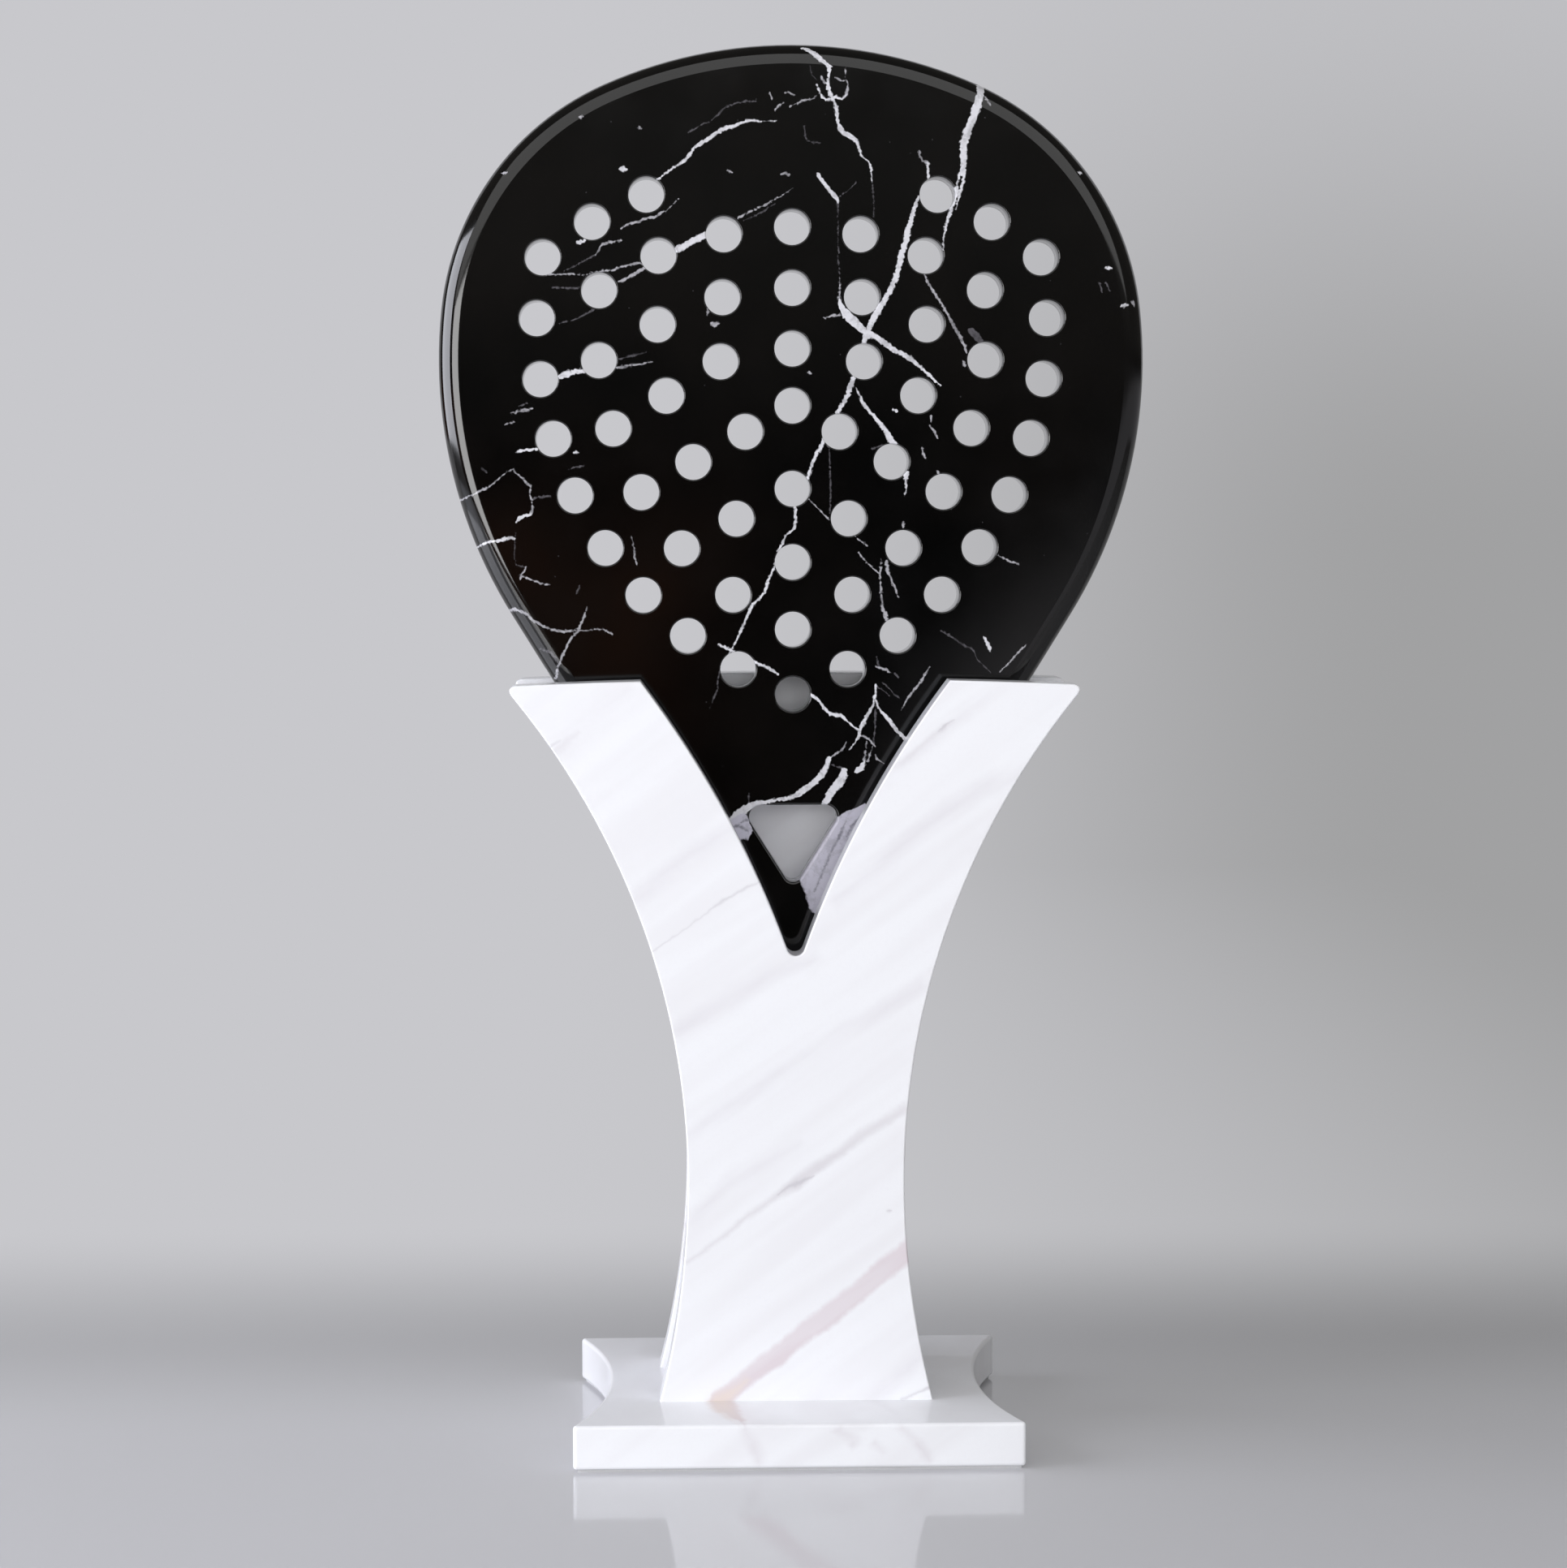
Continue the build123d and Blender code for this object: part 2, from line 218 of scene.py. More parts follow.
def notch_strokes():
    """From the middle of the notch's floor round its small floor arc and up its bowed side."""
    top = (NOTCH_HALF_WIDTH, arch_height(NOTCH_HALF_WIDTH))
    floor = DECK + NOTCH_FLOOR_HEIGHT
    chord = hypot(top[0], top[1] - floor)
    bow_radius = (chord ** 2 / 4 + NOTCH_BOW ** 2) / (2 * NOTCH_BOW)
    lean = atan2(top[0], top[1] - floor) - asin(chord / 2 / bow_radius)
    side = (NOTCH_FLOOR_RADIUS * cos(lean), floor + NOTCH_FLOOR_RADIUS * (1 - sin(lean)))
    floor_turn = degrees(lean) - 90
    flank = bend(side, floor_turn, top)
    rim_heading = degrees(asin(top[0] / arch_radius()))
    return [(NOTCH_FLOOR_RADIUS, floor_turn), flank, (0, rim_heading - floor_turn - flank[1])]


def panel_outline(bm, notched):
    """Right half of a panel, from the top of the middle to the foot, which is let into the plinth."""
    tip = (PANEL_TIP_HALF_WIDTH, DECK + PANEL_TIP_HEIGHT)
    waist = (WAIST_HALF_WIDTH, DECK + WAIST_HEIGHT)
    foot = (FOOT_HALF_WIDTH, DECK)
    into_tip = bend(waist, -90, tip)
    into_foot = bend(waist, 90, foot)
    start = (0, DECK + NOTCH_FLOOR_HEIGHT if notched else arch_height(0))
    strokes = notch_strokes() if notched else []
    passed = degrees(asin(NOTCH_HALF_WIDTH / arch_radius())) if notched else 0
    at_tip = degrees(asin(PANEL_TIP_HALF_WIDTH / arch_radius()))
    strokes += [(arch_radius(), at_tip - passed), (0, 90 + abs(into_tip[1]) - at_tip),
                (into_tip[0], -abs(into_tip[1])), (into_foot[0], -abs(into_foot[1]))]
    last = trace(bm, start, 0, strokes)
    tail = trace(bm, (last.co.x, last.co.z), 90, [(PANEL_EDGE_ROUND,), (0, 90), (last.co.x,)])
    tail.co.x = 0
    bmesh.ops.remove_doubles(bm, verts=bm.verts[:], dist=TOUCHING)


def plinth_outline(bm):
    """Right half of the plinth's plan, drawn upright with its back edge on top."""
    half_depth = BASE_DEPTH / 2
    flank_radius = (half_depth ** 2 + BASE_FLANK_INSET ** 2) / (2 * BASE_FLANK_INSET)
    swing = degrees(asin(half_depth / flank_radius))
    end = trace(bm, (0, half_depth), 0, [(BASE_WIDTH / 2,), (0, 90 + swing), (flank_radius, -2 * swing),
                                         (0, 90 + swing), (BASE_WIDTH / 2,)])
    end.co.x = 0


# Turning outlines into stone

def roll_edge(bm, face, segments, reached):
    """Insets a face in steps. At each angle of a quarter round, reached gives how far in and how far
    towards the viewer it has come."""
    done = (0.0, 0.0)
    for i in range(1, segments + 1):
        wanted = reached(pi / 2 * i / segments)
        bmesh.ops.inset_region(bm, faces=[face], thickness=wanted[0] - done[0], depth=wanted[1] - done[1],
                               use_even_offset=True, use_boundary=True)
        done = wanted


def round_over(bm, face, radius, segments):
    """Rolls the edge of a face over a quarter round that rises towards the viewer."""
    roll_edge(bm, face, segments, lambda angle: (radius * (1 - cos(angle)), radius * sin(angle)))


def sink(bm, face, radius, segments, depth):
    """Makes a face into an opening with an eased edge that goes down to a depth."""
    roll_edge(bm, face, segments, lambda angle: (radius * sin(angle), radius * (cos(angle) - 1)))
    bmesh.ops.translate(bm, verts=extruded_edges(bm, face.edges[:]), vec=(0, depth - radius, 0))
    bmesh.ops.delete(bm, geom=[face], context='FACES_ONLY')


def extruded_edges(bm, edges):
    made = bmesh.ops.extrude_edge_only(bm, edges=edges)["geom"]
    return [v for v in made if isinstance(v, bmesh.types.BMVert)]


def soften_corners(bm, corners, radius):
    """Rounds corners of a flat outline, and returns its face."""
    for corner in corners:
        cut = radius * tan(corner.calc_edge_angle() / 2)
        bmesh.ops.bevel(bm, geom=[corner], offset=cut, affect='VERTICES', segments=CORNER_SEGMENTS,
                        profile=0.5, material=-1)
    return bm.faces[:][0]


def half_slab(outline, thickness, radius, corner_place=None, corner_radius=0.0):
    """The viewer's half of a slab, its middle plane at y = 0, with the cap as one face. Corners at
    corner_place (or its mirror images) are rounded."""
    bm = bmesh.new()
    outline(bm)
    face = mirrored_face(bm)
    if corner_place:
        corners = [v for v in face.verts
                   if hypot(abs(v.co.x) - corner_place[0], abs(v.co.z) - corner_place[1]) < NEAR_CORNER]
        face = soften_corners(bm, corners, corner_radius)
    flat = thickness / 2 - radius
    bmesh.ops.translate(bm, verts=face.verts[:], vec=(0, -flat, 0))
    wall = face.edges[:]
    for run in (WALL_STRIP, flat - WALL_STRIP):
        foot = extruded_edges(bm, wall)
        bmesh.ops.translate(bm, verts=foot, vec=(0, run, 0))
        wall = [e for e in bm.edges if e.is_boundary and all(v in foot for v in e.verts)]
    return bm, face


def whole_slab(bm):
    """Adds the back half and closes the solid."""
    bmesh.ops.mirror(bm, geom=bm.verts[:] + bm.edges[:] + bm.faces[:], axis='Y', merge_dist=TOUCHING)
    bmesh.ops.recalc_face_normals(bm, faces=bm.faces[:])
    for face in bm.faces:
        face.smooth = abs(face.normal.y) < CAP_FACING
    for edge in bm.edges:
        edge.smooth = edge.calc_face_angle(0) < SHARPEST_ROLL


def placed(name, data, place=(0, 0, 0), turn=(0, 0, 0)):
    """A new object of the scene."""
    thing = bpy.data.objects.new(name, data)
    thing.location = place
    thing.rotation_euler = turn
    bpy.context.scene.collection.objects.link(thing)
    return thing


def mesh_object(name, bm, material):
    mesh = bpy.data.meshes.new(name)
    bm.to_mesh(mesh)
    bm.free()
    mesh.materials.append(material)
    return placed(name, mesh)


def stone_piece(name, bm, material, body):
    """A finished piece at the origin, that moves with its body."""
    bmesh.ops.scale(bm, verts=bm.verts[:], vec=(MM, MM, MM))
    piece = mesh_object(name, bm, material)
    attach(piece, body)
    return piece


# Hole pattern of the racket's face

def ring_corner(crown_radius, side_radius):
    """Where the crown arc of a ring meets its right side arc."""
    offset, side_height, _ = SIDE_ARC
    dz = side_height - CROWN_ARC[0]
    apart = hypot(offset, dz)
    along = (crown_radius ** 2 - side_radius ** 2 + apart ** 2) / (2 * apart)
    across = (crown_radius ** 2 - along ** 2) ** 0.5
    return ((-offset * along + dz * across) / apart, CROWN_ARC[0] + (dz * along + offset * across) / apart)


def ring_holes(ring):
    """Right-hand hole centres of one ring, counted from the innermost."""
    crown_arc = CROWN_ARC[1] + ring * RING_PITCH
    side_arc = SIDE_ARC[2] + ring * RING_PITCH
    offset, side_height, _ = SIDE_ARC
    corner = ring_corner(crown_arc, side_arc)
    bottom = side_height - (side_arc ** 2 - offset ** 2) ** 0.5
    start = atan2(corner[1] - side_height, corner[0] + offset)
    end = atan2(bottom - side_height, offset)
    corner_angle = atan2(corner[0], corner[1] - CROWN_ARC[0])
    if ring < len(INNER_RING_GAPS):
        side_gaps = INNER_RING_GAPS[ring]
        tops = [corner_angle * i / (side_gaps // 2) for i in range(side_gaps // 2)]
    else:
        side_gaps = OUTER_RING_SIDE_GAPS
        step = (start - end) * side_arc / side_gaps / crown_arc
        tops = [corner_angle - step * i for i in range(OUTER_RING_TOP_HOLES, 0, -1)]
    centres = [(crown_arc * sin(a), CROWN_ARC[0] + crown_arc * cos(a)) for a in tops]
    for i in range(side_gaps + 1):
        angle = start + (end - start) * i / side_gaps
        centres.append((side_arc * cos(angle) - offset, side_height + side_arc * sin(angle)))
    return centres


def hole_centres():
    centres = [(0, CENTRE_HOLE_HEIGHT)]
    for ring in range(len(INNER_RING_GAPS) + 1):
        for x, z in ring_holes(ring):
            centres += [(0, z)] if abs(x) < HOLE_DIAMETER / 4 else [(x, z), (-x, z)]
    return centres


# Pieces

def racket(material):
    """Blade with a full round rim, its holes and window eased, on the square core of the handle."""
    bm, face = half_slab(racket_outline, BLADE_THICKNESS, RIM_RADIUS)
    round_over(bm, face, RIM_RADIUS, RIM_SEGMENTS)
    bmesh.ops.delete(bm, geom=[face], context='FACES_ONLY')
    front = -BLADE_THICKNESS / 2
    facing = Matrix.Rotation(pi / 2, 4, 'X')
    for x, z in hole_centres():
        place = Matrix.Translation((x, front, BUTT + z)) @ facing
        ring = bmesh.ops.create_circle(bm, cap_ends=True, segments=HOLE_SEGMENTS, matrix=place,
                                       radius=HOLE_DIAMETER / 2 + HOLE_EDGE_ROUND)
        hole = ring["verts"][0].link_faces[0]
        sink(bm, hole, HOLE_EDGE_ROUND, EASED_SEGMENTS, BLADE_THICKNESS / 2)
    throat_window(bm, front)
    rims = [e for e in bm.edges if e.is_boundary and max(abs(v.co.y - front) for v in e.verts) < TOUCHING]
    bmesh.ops.triangle_fill(bm, edges=rims, use_beauty=True, normal=(0, -1, 0))
    whole_slab(bm)
    core = (Matrix.Translation((0, 0, BUTT + CHEEK_LENGTH / 2))
            @ Matrix.Diagonal((HANDLE_WIDTH, BLADE_THICKNESS, CHEEK_LENGTH, 1)))
    bmesh.ops.create_cube(bm, size=1, matrix=core)
    piece = stone_piece("racket_stone", bm, material, "racket")
    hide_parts("racket_blade")


def throat_window(bm, front):
    """Sinks the rounded triangle into the blade."""
    scratch = bmesh.new()
    window_outline(scratch)
    mirrored_face(scratch)
    shape = bpy.data.meshes.new("window_outline")
    scratch.to_mesh(shape)
    scratch.free()
    before = set(bm.faces)
    bm.from_mesh(shape)
    bpy.data.meshes.remove(shape)
    face = next(f for f in bm.faces if f not in before)
    bmesh.ops.translate(bm, verts=face.verts[:], vec=(0, front, 0))
    sink(bm, face, WINDOW_EDGE_ROUND, EASED_SEGMENTS, BLADE_THICKNESS / 2)


def panel(name, node, notched, side, material):
    """Upright panel; side is -1 for the viewer's and 1 for the one behind."""
    tip = (PANEL_TIP_HALF_WIDTH, DECK + PANEL_TIP_HEIGHT)
    bm, face = half_slab(lambda bm: panel_outline(bm, notched), PANEL_THICKNESS, PANEL_EDGE_ROUND, tip,
                         PANEL_TIP_RADIUS)
    round_over(bm, face, PANEL_EDGE_ROUND, EASED_SEGMENTS)
    whole_slab(bm)
    bmesh.ops.translate(bm, verts=bm.verts[:], vec=(0, side * (SLOT_WIDTH + PANEL_THICKNESS) / 2, 0))
    piece = stone_piece(name, bm, material, "stand")
    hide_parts(node)


def plinth(material):
    bm, face = half_slab(plinth_outline, BASE_THICKNESS, BASE_EDGE_ROUND, (BASE_WIDTH / 2, BASE_DEPTH / 2),
                         BASE_CORNER_RADIUS)
    round_over(bm, face, BASE_EDGE_ROUND, EASED_SEGMENTS)
    whole_slab(bm)
    bmesh.ops.rotate(bm, verts=bm.verts[:], matrix=Matrix.Rotation(-pi / 2, 3, 'X'))
    bmesh.ops.translate(bm, verts=bm.verts[:], vec=(0, 0, FELT_THICKNESS + BASE_THICKNESS / 2))
    piece = stone_piece("plinth_stone", bm, material, "stand")
    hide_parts("base_plinth")


# Materials

def linear(colour):
    """sRGB hex to the linear RGBA that the shaders take."""
    parts = [int(colour[i:i + 2], 16) / 255 for i in (1, 3, 5)]
    return tuple(c / 12.92 if c <= 0.04045 else ((c + 0.055) / 1.055) ** 2.4 for c in parts) + (1.0,)


def put(tree, kind, inputs=None, **settings):
    """Adds a node with its settings, sets or links its inputs, and returns its outputs."""
    node = tree.nodes.new("ShaderNode" + kind)
    for name, value in settings.items():
        setattr(node, name, value)
    for name, value in (inputs or {}).items():
        if isinstance(value, bpy.types.NodeSocket):
            tree.links.new(value, node.inputs[name])
        else:
            node.inputs[name].default_value = value
    return node.outputs


def calc(tree, operation, *values):
    return put(tree, "Math", dict(enumerate(values)), operation=operation)[0]


def ramp(tree, value, ends, to=(0, 1), kind='LINEAR'):
    """Takes the range between ends to another, held level beyond it."""
    return put(tree, "MapRange", {"Value": value, "From Min": ends[0], "From Max": ends[1], "To Min": to[0],
                                  "To Max": to[1]}, interpolation_type=kind)["Result"]


def soft_ramp(tree, value, ends, to=(0, 1)):
    return ramp(tree, value, ends, to, 'SMOOTHSTEP')


def noise(tree, place, size, detail, roughness=0.5, distortion=0):
    return put(tree, "TexNoise", {"Vector": place, "Scale": 1 / size, "Detail": detail,
                                  "Roughness": roughness, "Distortion": distortion})


def tint(tree, base, share, colour):
    """Lays a colour by its share over a base, which is a colour or a socket."""
    under = linear(base) if isinstance(base, str) else base
    return put(tree, "Mix", {"Factor": share, 6: under, 7: linear(colour)}, data_type='RGBA')[2]


def principled(tree, inputs):
    """Ends a material in one shader."""
    put(tree, "OutputMaterial", {"Surface": put(tree, "BsdfPrincipled", inputs)[0]})


def new_material(name):
    material = bpy.data.materials.new(name)
    material.use_nodes = True
    material.node_tree.nodes.clear()
    return material, material.node_tree


# Veins, read off the photograph: (across px, down px, width px)
# Calcite that filled wide cracks
BRIGHT_VEINS = {
    "crown_left": (
        (803, 224, 3), (815, 214, 4), (828, 205, 4), (838, 199, 5), (846, 189, 5), (850, 182, 5), (860, 176, 6),
        (872, 167, 6), (884, 160, 6), (900, 156, 5), (912, 150, 4), (918, 149, 4), (930, 150, 3), (950, 149, 1)),
    "left_stub": ((827, 309, 8), (835, 307, 9), (845, 300, 9), (857, 294, 9), (870, 287, 8)),
    "left_dash": ((705, 301, 5), (709, 302, 6), (715, 299, 5)),
    "crown_middle": (
        (986, 56, 8), (996, 64, 8), (1008, 77, 7), (1014, 81, 7), (1014, 90, 4), (1012, 104, 5), (1015, 114, 6),
        (1018, 122, 5), (1023, 130, 6), (1024, 142, 5), (1026, 152, 5), (1030, 161, 8), (1040, 167, 8),
        (1048, 173, 6), (1052, 183, 4), (1056, 192, 3), (1064, 198, 3), (1067, 206, 3), (1068, 225, 1)),
    "tangle_left": ((999, 104, 3), (1002, 112, 4), (1006, 120, 5), (1010, 123, 3)),
    "tangle_floor": ((1004, 120, 3), (1012, 122, 4), (1022, 118, 5), (1030, 122, 5), (1035, 117, 3)),
    "crown_branch": ((1001, 213, 4), (1005, 220, 6), (1015, 232, 6), (1024, 243, 7), (1027, 249, 3)),
    "right_tick": ((1137, 199, 5), (1137, 210, 4), (1138, 222, 4)),
    "right_stem": (
        (1207, 98, 12), (1202, 112, 11), (1197, 125, 11), (1193, 140, 11), (1187, 155, 11), (1182, 170, 11),
        (1180, 180, 10), (1181, 186, 10), (1181, 198, 9), (1179, 213, 7)),
    "right_stem_left_foot": (
        (1176, 210, 4), (1174, 222, 4), (1172, 236, 7), (1168, 250, 6), (1164, 262, 5), (1160, 276, 4),
        (1158, 290, 3), (1157, 306, 2)),
    "right_stem_right_foot": ((1182, 206, 5), (1181, 220, 5), (1178, 232, 5), (1175, 245, 3), (1172, 256, 2)),
    "diagonal_top": (
        (1126, 240, 3), (1122, 252, 7), (1118, 265, 7), (1114, 280, 8), (1111, 295, 8), (1106, 310, 8),
        (1103, 325, 8), (1099, 340, 8), (1092, 357, 7), (1085, 368, 8), (1078, 380, 9), (1073, 390, 9),
        (1068, 400, 8), (1063, 412, 8), (1061, 424, 7)),
    "diagonal_second": (
        (1049, 460, 7), (1046, 473, 7), (1041, 487, 7), (1034, 500, 6), (1029, 508, 6), (1027, 515, 4)),
    "diagonal_third": (
        (1014, 538, 5), (1010, 548, 6), (1004, 558, 5), (1000, 568, 5), (996, 580, 5), (992, 592, 5)),
    "diagonal_fourth": (
        (978, 622, 5), (979, 640, 5), (978, 650, 4), (967, 660, 4), (960, 677, 5), (953, 700, 4), (947, 714, 4),
        (942, 730, 4), (927, 746, 5), (916, 771, 4), (903, 800, 3), (898, 810, 2), (890, 822, 2)),
    "crossing": (
        (1030, 372, 6), (1033, 380, 9), (1040, 388, 12), (1048, 395, 12), (1056, 403, 11), (1064, 410, 10),
        (1072, 412, 9), (1080, 417, 8), (1090, 424, 8), (1100, 431, 7), (1112, 437, 7), (1122, 443, 6),
        (1130, 450, 5), (1140, 459, 5), (1148, 467, 4), (1155, 473, 2)),
    "right_slant": (
        (1051, 476, 3), (1055, 484, 4), (1060, 496, 5), (1068, 505, 5), (1078, 516, 6), (1087, 527, 7),
        (1093, 537, 8), (1098, 545, 9), (1104, 553, 8)),
    "lower_right_drop": ((1115, 580, 7), (1114, 590, 5), (1115, 600, 3), (1113, 610, 2)),
    "left_wedge": ((686, 467, 8), (695, 464, 9), (705, 461, 8), (718, 460, 7), (730, 458, 6)),
    "left_arch_foot": ((654, 637, 3), (645, 640, 5), (638, 643, 6), (634, 647, 3)),
    "left_low_bar": ((590, 676, 2), (600, 673, 4), (612, 671, 5), (622, 668, 5), (630, 667, 6), (634, 668, 3)),
    "left_low_dash": ((633, 562, 3), (640, 559, 5), (650, 558, 4), (660, 557, 4)),
    "throat_run": ((885, 796, 3), (895, 799, 4), (905, 805, 5), (937, 819, 5), (948, 824, 5), (960, 831, 4)),
    "throat_run_low": (
        (1000, 855, 5), (1010, 863, 5), (1018, 873, 5), (1025, 879, 6), (1038, 881, 6), (1046, 888, 4),
        (1053, 895, 3), (1060, 899, 4)),
    "throat_rise": (
        (1080, 842, 2), (1080, 855, 4), (1077, 868, 5), (1070, 880, 6), (1065, 890, 6), (1060, 900, 5),
        (1060, 905, 4), (1055, 915, 3), (1048, 923, 1)),
    "throat_right_fall": (
        (1080, 862, 3), (1085, 872, 4), (1092, 880, 5), (1100, 890, 6), (1108, 900, 6), (1116, 907, 6),
        (1122, 913, 6)),
    "throat_sweep_high": (
        (1024, 932, 7), (1020, 945, 8), (1012, 957, 9), (1003, 965, 9), (995, 972, 9), (985, 979, 8)),
    "throat_sweep_low": (
        (990, 977, 8), (975, 983, 7), (960, 986, 5), (945, 989, 6), (930, 993, 9), (918, 1000, 11), (908, 1009, 12),
        (900, 1020, 12)),
    "throat_second": (
        (1043, 947, 8), (1040, 957, 11), (1035, 966, 12), (1027, 975, 11), (1022, 985, 10), (1017, 993, 8)),
    "throat_blob": ((1067, 936, 4), (1065, 942, 8), (1061, 948, 9), (1058, 951, 4)),
    "spot_left": ((756, 211, 3), (761, 211, 9), (766, 211, 3)),
    "spot_right": ((1323, 207, 3), (1326, 207, 6), (1329, 207, 3)),
    "spot_right_mid": ((1357, 326, 3), (1361, 326, 7), (1365, 326, 3)),
    "spot_right_low": ((1376, 373, 3), (1381, 372, 6), (1387, 370, 3)),
    "spot_middle": ((1097, 503, 3), (1100, 504, 5), (1103, 505, 3)),
    "spot_low_left": ((705, 561, 3), (708, 561, 5), (711, 561, 3)),
    "right_low_stroke": ((1213, 782, 3), (1216, 788, 5), (1220, 796, 5), (1221, 801, 2)),
}
# Wide pockets of calcite beside the throat window
PALE_PATCHES = {
    "window_right": (
        (1068, 991, 8), (1062, 999, 30), (1058, 1006, 46), (1054, 1020, 52), (1043, 1040, 54), (1032, 1060, 56),
        (1020, 1080, 58), (1018, 1090, 54), (1018, 1105, 43), (1018, 1120, 32), (1018, 1135, 8)),
    "window_left": (
        (898, 1022, 14), (905, 1022, 26), (912, 1022, 32), (920, 1018, 34), (925, 1022, 24), (929, 1024, 6)),
}
# Grey stone left standing in those pockets
PATCH_STREAKS = {
    "left_streak": ((905, 1020, 3), (912, 1018, 5), (919, 1021, 5), (925, 1025, 3)),
    "left_notch": ((916, 1014, 2), (922, 1011, 4), (928, 1010, 5)),
    "right_streak": ((1046, 1010, 2), (1038, 1028, 5), (1028, 1048, 4), (1018, 1072, 4), (1008, 1098, 2)),
    "right_edge": ((1064, 1004, 2), (1054, 1016, 5), (1046, 1030, 3)),
}
